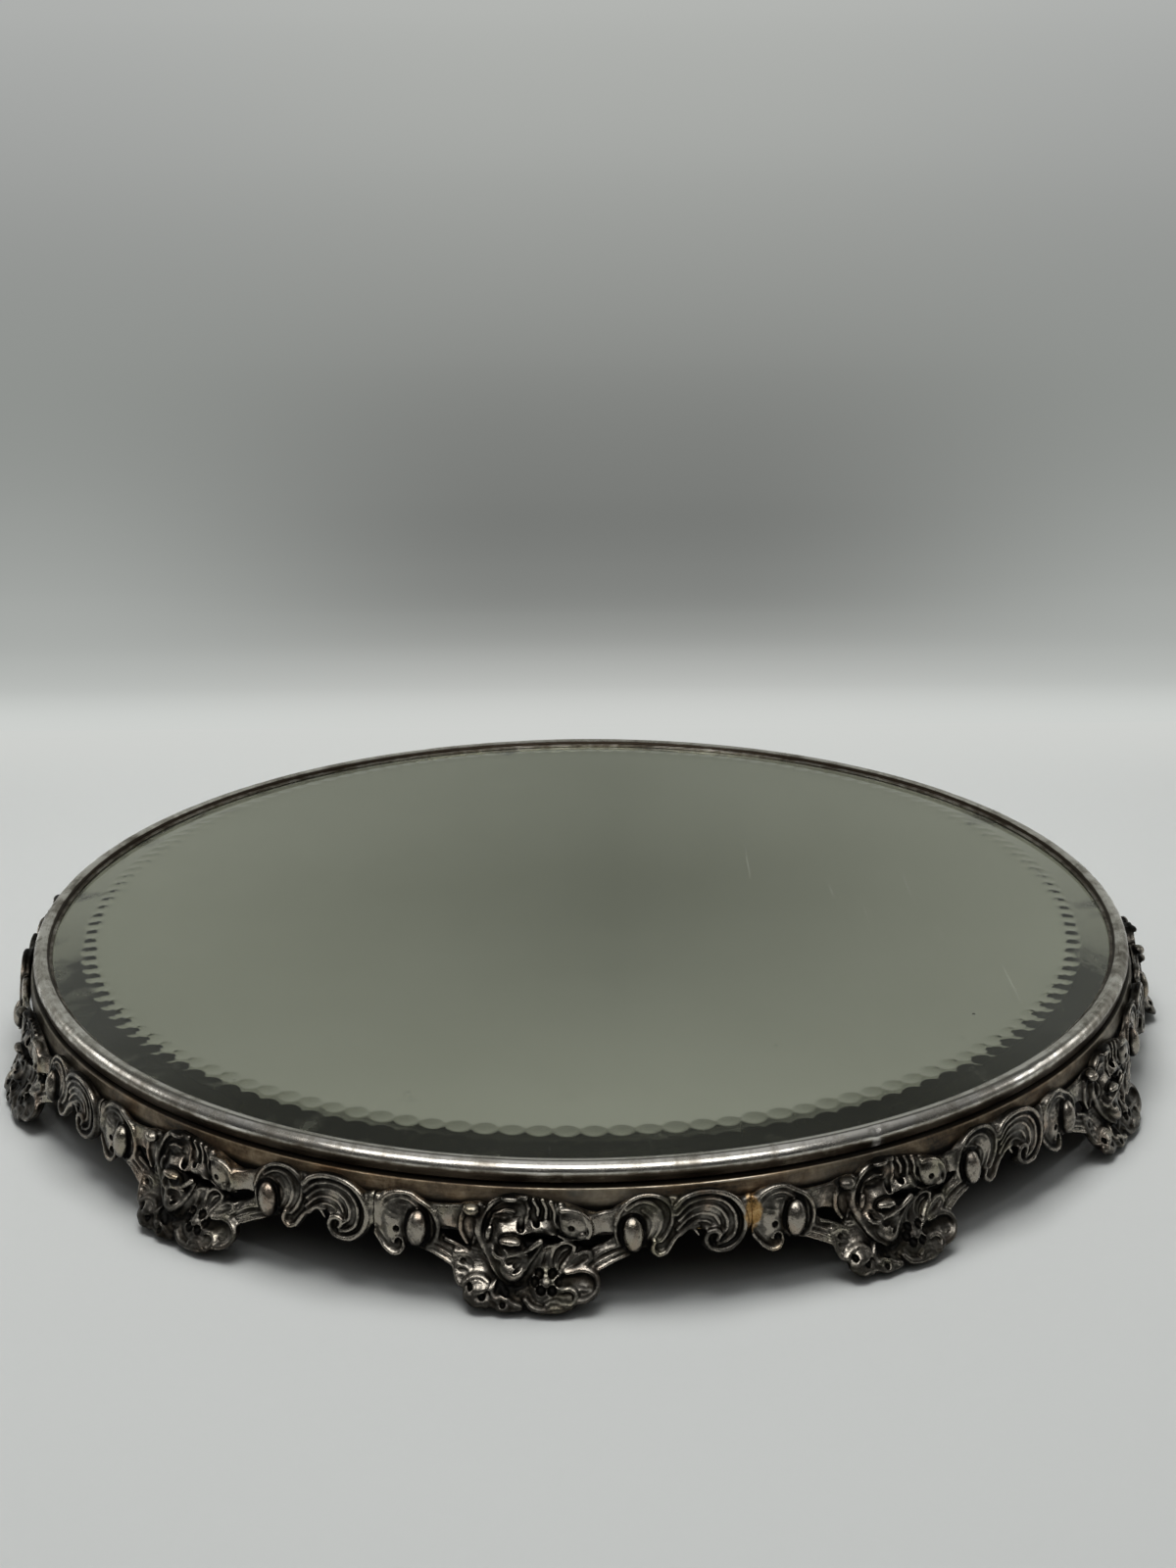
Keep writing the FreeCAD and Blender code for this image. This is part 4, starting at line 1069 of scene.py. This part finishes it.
def build_rim():
    """Bead round the mirror, with its inner lip and the wall below it."""
    lip = BEAD_RADIUS - 6.7
    half_width = 3.1             # of the bead outside its crest
    crest = BEAD_RADIUS - half_width
    # (radius, z), from the lip over the bead and down; the last four sides are the wall
    profile = [(lip + out, z) for out, z in (
        (0, 38.05), (0, 38.35), (0.12, 38.56), (0.38, 38.66), (0.75, 38.66), (0.98, 38.6),
        (1.05, 38.75), (1.06, 39.35),
    )]
    profile += [(crest - 3.0 * math.sin(t), BEAD_TOP - 2.4 + 2.4 * math.cos(t))
                for t in np.radians(np.linspace(56, 2, 16))]
    profile += [(crest + half_width * math.sin(t), BEAD_TOP - 3.4 + 3.4 * math.cos(t))
                for t in np.radians(np.linspace(2, 112, 34))]
    profile += [
        (BEAD_RADIUS - 0.5, BEAD_TOP - 5.95), (BEAD_RADIUS - 0.9, BEAD_TOP - 6.1),
        (BEAD_RADIUS - 1.6, BEAD_TOP - 6.15), (199.85, BEAD_TOP - 6.17), (199.85, 24.95),
        (198.72, 24.95), (198.72, 38.05),
    ]
    profile = resample(profile, [0.5] * (len(profile) - 4) + [2.0] * 4)[::-1]
    across, up = profile.T
    bead = np.clip((up - (BEAD_TOP - 5.6)) / 1.5, 0, 1) * np.clip((across - 199.0) / 2.0, 0, 1)
    bead = bead[:, None]
    upper = np.clip((up - (BEAD_TOP - 3.0)) / 1.5, 0, 1)[:, None]
    radius = across[:, None] - 0.07 * np.abs(ring_noise(RING_ANGLES, 3)) * bead
    height = up[:, None] - 0.06 * np.abs(ring_noise(RING_ANGLES, 5)) * upper

    # dents: angle and width in degrees, depth, then place and spread across the bead as
    # shares of its half-width; the first is the bright nick
    rng = np.random.default_rng(11)
    scattered = [
        (rng.uniform(-180, 180), rng.uniform(0.3, 1.6), rng.uniform(0.05, 0.16))
        for _ in range(34)
    ]
    dents = [
        (25.2, 0.28, 0.55, 0.75, 0.35), (26.3, 0.5, 0.2, 0.75, 0.35),
        (-63.5, 0.10, 0.35, 0.75, 0.35),
    ] + [(*dent, rng.uniform(0.2, 0.9), 0.45) for dent in scattered]
    nick = None
    for angle, width, depth, spot, spread in dents:
        turn = (np.degrees(RING_ANGLES) - angle + 180) % 360 - 180
        share = (radius - crest) / half_width
        dent = np.exp(-(turn / width) ** 2) * np.exp(-((share - spot) / spread) ** 2)
        dent = dent * (bead > 0)
        radius = radius - depth * dent * 0.7
        height = height - depth * dent * 0.7
        if nick is None:
            nick = np.clip(dent * 1.4, 0, 1)

    # painted shade on the bead: 0 on the crest, 1 low on the outside and within the inner edge
    bead_shade = np.clip((across - BEAD_RADIUS + 2.6) * 0.10, 0, 1)
    bead_shade = bead_shade + np.clip((BEAD_TOP - 2.7 - up) / 1.3, 0, 1) * (across > 200)
    inner = np.clip((crest - 1.7 - across) / 0.45, 0, 1) * np.where(up > 38.9, 1.0, 0.42)
    bead_shade = np.clip(np.maximum(bead_shade, inner), 0, 1)
    ring = lathe(
        "rim_ring", polar(RING_ANGLES, radius, height), rolled_silver(),
        {"bead_shade": np.repeat(bead_shade, RING_SEGMENTS), "nick": nick.ravel()},
    )
    place(ring, "rim_bead", "deck", "rolled_silver")


def build_band():
    wall = BAND_RADIUS - 0.05
    inside = 201.25
    # (radius, z), up the outside
    profile = [(inside, BAND_BOTTOM + 0.03)]
    profile += [(wall - inset, z) for inset, z in (
        (0, BAND_BOTTOM + 0.03), (0, 28.8), (0.04, 29.8), (0.14, 30.7), (0.34, 31.6),
        (0.54, 32.5), (0.63, 32.95), (0.68, 33.2), (0.76, 33.45), (0.92, 33.62),
        (1.15, 33.73), (1.5, BAND_TOP - 0.05),
    )]
    profile += [(inside, BAND_TOP - 0.05)]
    profile = resample(profile, [0.7, 0.7] + [0.35] * (len(profile) - 3) + [2.0])[::-1]
    across, up = profile.T
    outer = np.clip((across - 202.8) / 0.6, 0, 1) * np.clip((up - 30) / 1.0, 0, 1)
    outer = outer[:, None]
    wobble = 0.10 * np.abs(ring_noise(RING_ANGLES, 21))
    wobble = wobble + 0.05 * np.abs(ring_noise(RING_ANGLES * 3, 22))
    radius = across[:, None] - wobble * outer
    height = up[:, None] - 0.12 * np.abs(ring_noise(RING_ANGLES, 23)) * outer
    # lighter metal along the upper edge: wear all round, and a painted highlight at 12 degrees
    edge = (np.exp(-((up - 33.35) / 0.28) ** 2) * (across > 203))[:, None]
    wear_and_highlight = 0.15 + 1.1 * np.exp(-((np.degrees(RING_ANGLES) - 12) / 4.0) ** 2)
    edge_wear_and_highlight = edge * (wear_and_highlight + 0.7 * np.clip(ring_noise(RING_ANGLES, 31), 0.0, 1.0))
    rings = polar(RING_ANGLES, radius, height)
    ring = lathe("band_ring", rings, band_silver(), {"edge_wear_and_highlight": edge_wear_and_highlight.ravel()})
    place(ring, "gallery_band", "base", "band_silver")


CUT_COUNT = 144
CUT_RADIUS = 182.7               # where the flat meets the bevel
BEVEL = math.tan(math.radians(10.8))


def glass_surface(radius, angle):
    """Height of the glass from its flat: a bevel, with a row of thumb cuts at its edge."""
    bevel = -max(radius - CUT_RADIUS, 0) * BEVEL
    pitch = 2 * math.pi / CUT_COUNT
    number = np.floor(angle / pitch)
    x = ((angle / pitch) % 1.0 - 0.5) * pitch * CUT_RADIUS
    y = radius - CUT_RADIUS + 0.4 - 0.18 * np.sin(number * 1.7) - 0.12 * np.sin(number * 4.1)
    # a shallow hollow across the edge between the flat and the bevel
    width = 2.2 + 0.15 * np.sin(number * 2.3)
    hollow = -0.108 * (y + width) + 0.108 * width * (x / 4.0) ** 2
    return np.minimum(bevel, hollow + 0.006 * np.maximum(y, 0) ** 2)


def build_mirror():
    segments = CUT_COUNT * 14
    angles = np.linspace(0, 2 * math.pi, segments, endpoint=False)
    top = GLASS_TOP - 0.02
    bottom = GLASS_BOTTOM + 0.02
    radii = np.concatenate([
        [8, 60, 120, 165, 175.6], np.arange(178.6, 187.6, 0.30),
        [188.4, 190, 192.5, 195, GLASS_RADIUS - 0.5, GLASS_RADIUS - 0.15],
    ])
    # rings (radius, z): over the top, down the edge and in under the back
    rings = [(radius, top + glass_surface(radius, angles)) for radius in radii]
    rings += [
        (GLASS_RADIUS - 0.02, GLASS_TOP + glass_surface(GLASS_RADIUS, angles) - 0.15),
        (GLASS_RADIUS - 0.02, GLASS_BOTTOM + 0.3),
        (GLASS_RADIUS - 0.3, bottom), (100.0, bottom), (8.0, bottom),
    ]
    rows = np.array([polar(angles, radius, z) for radius, z in rings])
    points = np.vstack([rows.reshape(-1, 3), [[0, 0, top]], [[0, 0, bottom]]])
    grid = np.arange(len(rings) * segments).reshape(-1, segments)
    inner, outer = grid[:-1], grid[1:]
    quads = np.stack([inner, outer, np.roll(outer, -1, 1), np.roll(inner, -1, 1)], -1)
    top_centre = np.full(segments, grid.size)
    caps = np.vstack([
        np.stack([top_centre, grid[0], np.roll(grid[0], -1)], 1),
        np.stack([top_centre + 1, np.roll(grid[-1], -1), grid[-1]], 1),
    ])
    glass = new_object(
        "mirror_plate", points / 1000, [quads.reshape(-1, 4), caps],
        [mirror_glass(), mirror_silvering()],
    )
    # the back of the plate carries the silver
    polygons = glass.data.polygons
    centres = np.zeros(len(polygons) * 3, np.float32)
    polygons.foreach_get("center", centres)
    x, y, z = centres.reshape(-1, 3).T
    back = z * 1000 < GLASS_BOTTOM + 0.05
    polygons.foreach_set("material_index", back.astype(np.int32))
    flat = back | (np.hypot(x, y) * 1000 < 175.0)
    polygons.foreach_set("use_smooth", ~flat)
    place(glass, "mirror", "deck", "mirror_glass")


def paint_cad_nodes():
    """Materials for the CAD nodes that are kept as they are."""
    deck_wood = wood("deck_wood", dark=(0.10, 0.055, 0.028), light=(0.25, 0.155, 0.085), seed=1)
    # the base board is near black: painted shade where it shows under the band
    base_wood_painted_shade = wood(
        "base_wood_painted_shade", dark=(0.014, 0.010, 0.007), light=(0.040, 0.028, 0.019), seed=2
    )
    brass = metal(
        "dull_brass", light=(0.46, 0.32, 0.13), dark=(0.20, 0.125, 0.045),
        rough=(0.28, 0.5), scale=300, spots=(0.05, 0.045, 0.02),
    )
    steel = metal(
        "plain_steel", light=(0.42, 0.42, 0.41), dark=(0.16, 0.155, 0.15),
        rough=(0.25, 0.45), scale=320, spots=(0.10, 0.05, 0.025),
    )
    race = metal(
        "race_steel", light=(0.40, 0.40, 0.40), dark=(0.15, 0.15, 0.148),
        rough=(0.22, 0.42), scale=220, spots=(0.09, 0.05, 0.03), brushed=True,
    )
    balls = metal(
        "ball_steel", light=(0.72, 0.72, 0.72), dark=(0.50, 0.50, 0.50),
        rough=(0.06, 0.16), scale=500, spots=(0.35, 0.33, 0.30),
    )
    cage = metal(
        "cage_brass", light=(0.50, 0.36, 0.16), dark=(0.26, 0.17, 0.065),
        rough=(0.25, 0.42), scale=260, spots=(0.07, 0.05, 0.02), brushed=True,
    )
    for material, names in (
        (felt(), "mirror_felt"),
        (fibre(), "thrust_washer"),
        (deck_wood, "deck_board"),
        (base_wood_painted_shade, "base_board"),
        (brass, "rim_pins board_lugs pivot_bush"),
        (steel, "lug_screws upper_race_screws lower_race_screws"),
        (steel, "pivot_bolt pivot_washer pivot_nut"),
        (race, "upper_race lower_race"),
        (balls, "race_balls"),
        (cage, "ball_cage"),
    ):
        for name in names.split():
            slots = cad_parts[name].data.materials
            slots.clear()
            slots.append(material)


# ---------------------------------------------------------------- floor and backdrop, metres
# The backdrop glows with painted light and shade, in colours by height, as 8-bit sRGB. The
# camera sees the first two tables, at the middle and at the sides; everything else sees the
# third: height, middle, side.
SEEN_MIDDLE = [
    (0.0, (206, 208, 205)), (0.012, (187, 189, 186)), (0.032, (159, 161, 158)),
    (0.054, (136, 138, 135)), (0.084, (124, 126, 123)), (0.120, (121, 123, 120)),
    (0.20, (137, 139, 136)), (0.30, (161, 163, 160)), (0.384, (178, 180, 177)),
    (0.62, (196, 198, 196)),
]
SEEN_SIDE = [
    (0.0, (205, 208, 205)), (0.012, (186, 189, 186)), (0.032, (171, 174, 171)),
    (0.066, (161, 164, 161)), (0.125, (148, 151, 148)), (0.20, (144, 147, 144)),
    (0.29, (155, 157, 155)), (0.384, (173, 175, 173)), (0.62, (188, 190, 187)),
]
REFLECTED = [
    (0.0, (146, 148, 144), (160, 162, 158)), (0.05, (143, 145, 141), (158, 160, 156)),
    (0.12, (137, 139, 135), (155, 157, 153)), (0.167, (129, 131, 127), (154, 156, 152)),
    (0.204, (123, 125, 121), (151, 153, 149)), (0.235, (127, 129, 125), (151, 153, 149)),
    (0.267, (133, 135, 131), (150, 152, 148)), (0.30, (143, 145, 141), (149, 151, 147)),
    (0.337, (152, 154, 150), (153, 155, 151)), (0.37, (158, 160, 156), (158, 160, 156)),
    (0.42, (150, 152, 148), (150, 152, 148)), (0.62, (70, 71, 69), (70, 71, 69)),
]
PAINTED_HEIGHT = 0.62
CENTRE_X = 0.02                  # middle of the backdrop's shading
BACKDROP_Y = 0.42
BEND_RADIUS = 0.06


def floor_paper():
    mat = Material("floor_paper")
    fine = mat.noise(scale=260)
    broad = mat.noise(scale=2.2, rough=0.5)
    x, y, _ = mat.xyz()
    # painted light: the paper is lighter towards the back, where more light falls
    depth = y.remap(span=(-0.45, 0.36))
    colour = mat.mix(depth, (0.62, 0.635, 0.622), (0.70, 0.715, 0.702))
    cloud = broad.remap(span=(0.3, 0.7), to=(0.0, 0.05))
    colour = mat.mix(cloud, colour, (0.60, 0.62, 0.61))
    speckle = fine.remap(span=(0.2, 0.8), to=(0.0, 0.05))
    colour = mat.mix(speckle, colour, (0.55, 0.56, 0.55))
    # painted shadow: the paper is darkened in a ring under the object
    painted_shadow = radius_of(x, y).remap(span=(0.188, 0.206), to=(0.65, 0.0), smooth=True)
    paper = mat.node(
        "BsdfPrincipled",
        Base_Color=mat.mix(painted_shadow, colour, (0.05, 0.05, 0.048)),
        Roughness=0.75,
        Specular_IOR_Level=0.25,
        Normal=mat.bump(fine, strength=0.06, distance=0.0004),
    )
    # painted light: the far end glows in the backdrop's lowest colour, so that it runs into the
    # backdrop without a seam
    glow = mat.node("Emission", Color=srgb(*SEEN_MIDDLE[0][1]))
    paper = mat.node("MixShader", y.remap(span=(0.20, 0.355), smooth=True), paper, glow)
    # clear to the camera from below
    below = mat.node("NewGeometry", output="Backfacing")
    below = below * mat.node("LightPath", output="Is Camera Ray")
    return mat.surface(mat.node("MixShader", below, paper, mat.node("BsdfTransparent")))


def glowing_backdrop():
    mat = Material("glowing_backdrop")
    x, _, z = mat.xyz()
    height = z.over(PAINTED_HEIGHT, clamp=True)

    def painted(stops):
        return height.ramp([(p / PAINTED_HEIGHT, srgb(*c)) for p, c in stops], "CARDINAL")

    sideways = abs(x - CENTRE_X).remap(span=(0.05, 0.36), smooth=True)
    seen = mat.mix(sideways, painted(SEEN_MIDDLE), painted(SEEN_SIDE))
    sideways = abs(x - CENTRE_X).remap(span=(0.0, 0.29))
    reflected = mat.mix(
        sideways,
        painted([(z, middle) for z, middle, _ in REFLECTED]),
        painted([(z, side) for z, _, side in REFLECTED]),
    )
    colour = mat.mix(mat.node("LightPath", output="Is Camera Ray"), reflected, seen)
    behind = mat.node("NewGeometry", output="Backfacing")
    # painted light: the backdrop glows in the colours of the tables
    glow = mat.node("Emission", Color=colour)
    return mat.surface(mat.node("MixShader", behind, glow, mat.node("BsdfTransparent")))


def sheet(name, profile, half_width, material):
    """Sheet that carries a (y, z) profile across x."""
    points = np.array([
        [(x, y, z) for x in np.linspace(-half_width, half_width, 24)] for y, z in profile
    ], float)
    grid = np.arange(len(profile) * 24).reshape(-1, 24)
    quads = np.stack([grid[:-1, :-1], grid[:-1, 1:], grid[1:, 1:], grid[1:, :-1]], -1)
    new_object(name, points.reshape(-1, 3), [quads.reshape(-1, 4)], [material])


def build_stage():
    floor = [(-3.0, 0.0), (-1.0, 0.0), (0.0, 0.0), (0.36, 0.0), (3.0, -0.0005)]
    sheet("stage_floor", floor, 3.0, floor_paper())
    backdrop = [(0.355, 0.0002), (0.36, 0.0004)]
    backdrop += [
        (BACKDROP_Y - BEND_RADIUS + BEND_RADIUS * math.sin(t),
         0.0604 - BEND_RADIUS * math.cos(t))
        for t in np.radians(np.linspace(6, 90, 16))
    ]
    backdrop += [(BACKDROP_Y, 0.2), (BACKDROP_Y, 0.5), (BACKDROP_Y, 1.1)]
    sheet("stage_backdrop", backdrop, 2.2, glowing_backdrop())


# ---------------------------------------------------------------- light
def build_world():
    world = bpy.data.worlds.new("studio")
    bpy.context.scene.world = world
    world.use_nodes = True
    sky = Graph(world.node_tree, "ShaderNodeOutputWorld")
    direction = sky.node("TexCoord", output="Generated")
    _, y, z = sky.outputs("SeparateXYZ", "XYZ", direction)
    overhead = z.remap(span=(-0.3, 1.0)).ramp(
        [(0.0, (0.024, 0.024, 0.022)), (0.23, (0.02, 0.02, 0.02))]
        + [(p, (c, c * 1.01, c)) for p, c in (
            (0.42, 0.03), (0.60, 0.06), (0.78, 0.16), (0.92, 0.34), (1.0, 0.50),
        )]
    )
    # the side behind the camera is dark, the side of the backdrop is light; less so high
    # up and for diffuse rays
    side = y.remap(span=(-0.55, 0.75), smooth=True)
    diffuse, camera = sky.outputs("LightPath", ("Is Diffuse Ray", "Is Camera Ray"))
    keep = sky.node("Math", diffuse, -0.85, 1.0, operation="MULTIPLY_ADD")
    high = z.remap(span=(0.40, 0.80), to=(1.0, 0.25), smooth=True)
    fade = sky.node("Math", side, high, operation="MULTIPLY")
    amount = sky.node("Math", fade, keep, operation="MULTIPLY")
    lit = sky.mix(amount, overhead, (0.36, 0.365, 0.36))
    seen = sky.mix(camera, lit, (0.46, 0.47, 0.46))
    sky.put(sky.end, sky.node("Background", Color=seen, Strength=1.0))


def aim(start, target):
    return (Vector(target) - Vector(start)).to_track_quat("-Z", "Y").to_euler()


def area(name, at, target, size, watts, unseen_by=None):
    """Area light hidden from the camera and, if asked, from one kind of ray."""
    light = bpy.data.lights.new(name, "AREA")
    light.shape = "RECTANGLE"
    light.size, light.size_y = size
    light.energy = watts
    lamp = bpy.data.objects.new(name, light)
    lamp.location = at
    lamp.rotation_euler = aim(at, target)
    lamp.visible_camera = False
    if unseen_by:
        setattr(lamp, "visible_" + unseen_by, False)
    bpy.context.scene.collection.objects.link(lamp)


def build_lights():
    card_watts = 1.8
    area("top_softbox", at=(-0.04, 0.06, 1.22), target=(0, 0.02, 0), size=(0.85, 0.70),
         watts=12.1, unseen_by="glossy")
    area("front_softbox", at=(-0.10, -0.92, 1.0), target=(-0.05, -0.18, 0),
         size=(1.70, 0.52), watts=11.5, unseen_by="diffuse")
    area("left_card", at=(-1.15, 0.30, 0.50), target=(-0.1, -0.1, 0.03), size=(0.9, 0.36),
         watts=card_watts, unseen_by="diffuse")
    area("right_card", at=(1.15, 0.30, 0.50), target=(0.1, -0.1, 0.03), size=(0.9, 0.36),
         watts=card_watts * 0.9, unseen_by="diffuse")
    area("front_fill", at=(-0.7, -1.5, 1.5), target=(0, 0, 0), size=(0.9, 0.9), watts=0.1)


# ---------------------------------------------------------------- camera
def build_camera():
    down, roll = math.radians(18.66), math.radians(-0.45)
    forward = Vector((0, math.cos(down), -math.sin(down)))
    level = Vector((1, 0, 0))
    upright = level.cross(forward)
    right = level * math.cos(roll) + upright * math.sin(roll)
    up = -level * math.sin(roll) + upright * math.cos(roll)
    lens = bpy.data.cameras.new("camera")
    lens.sensor_width = 36.0
    lens.lens = 42.75
    lens.clip_start, lens.clip_end = 0.01, 50
    camera = bpy.data.objects.new("camera", lens)
    camera.matrix_world = Matrix((
        (right.x, up.x, -forward.x, 0.0030),
        (right.y, up.y, -forward.y, -0.6642),
        (right.z, up.z, -forward.z, 0.3094),
        (0, 0, 0, 1),
    ))
    scene = bpy.context.scene
    scene.collection.objects.link(camera)
    scene.camera = camera
    scene.view_settings.view_transform = "Standard"
    scene.view_settings.look = "None"


build_castings()
build_rim()
build_band()
build_mirror()
paint_cad_nodes()
build_stage()
build_world()
build_lights()
build_camera()
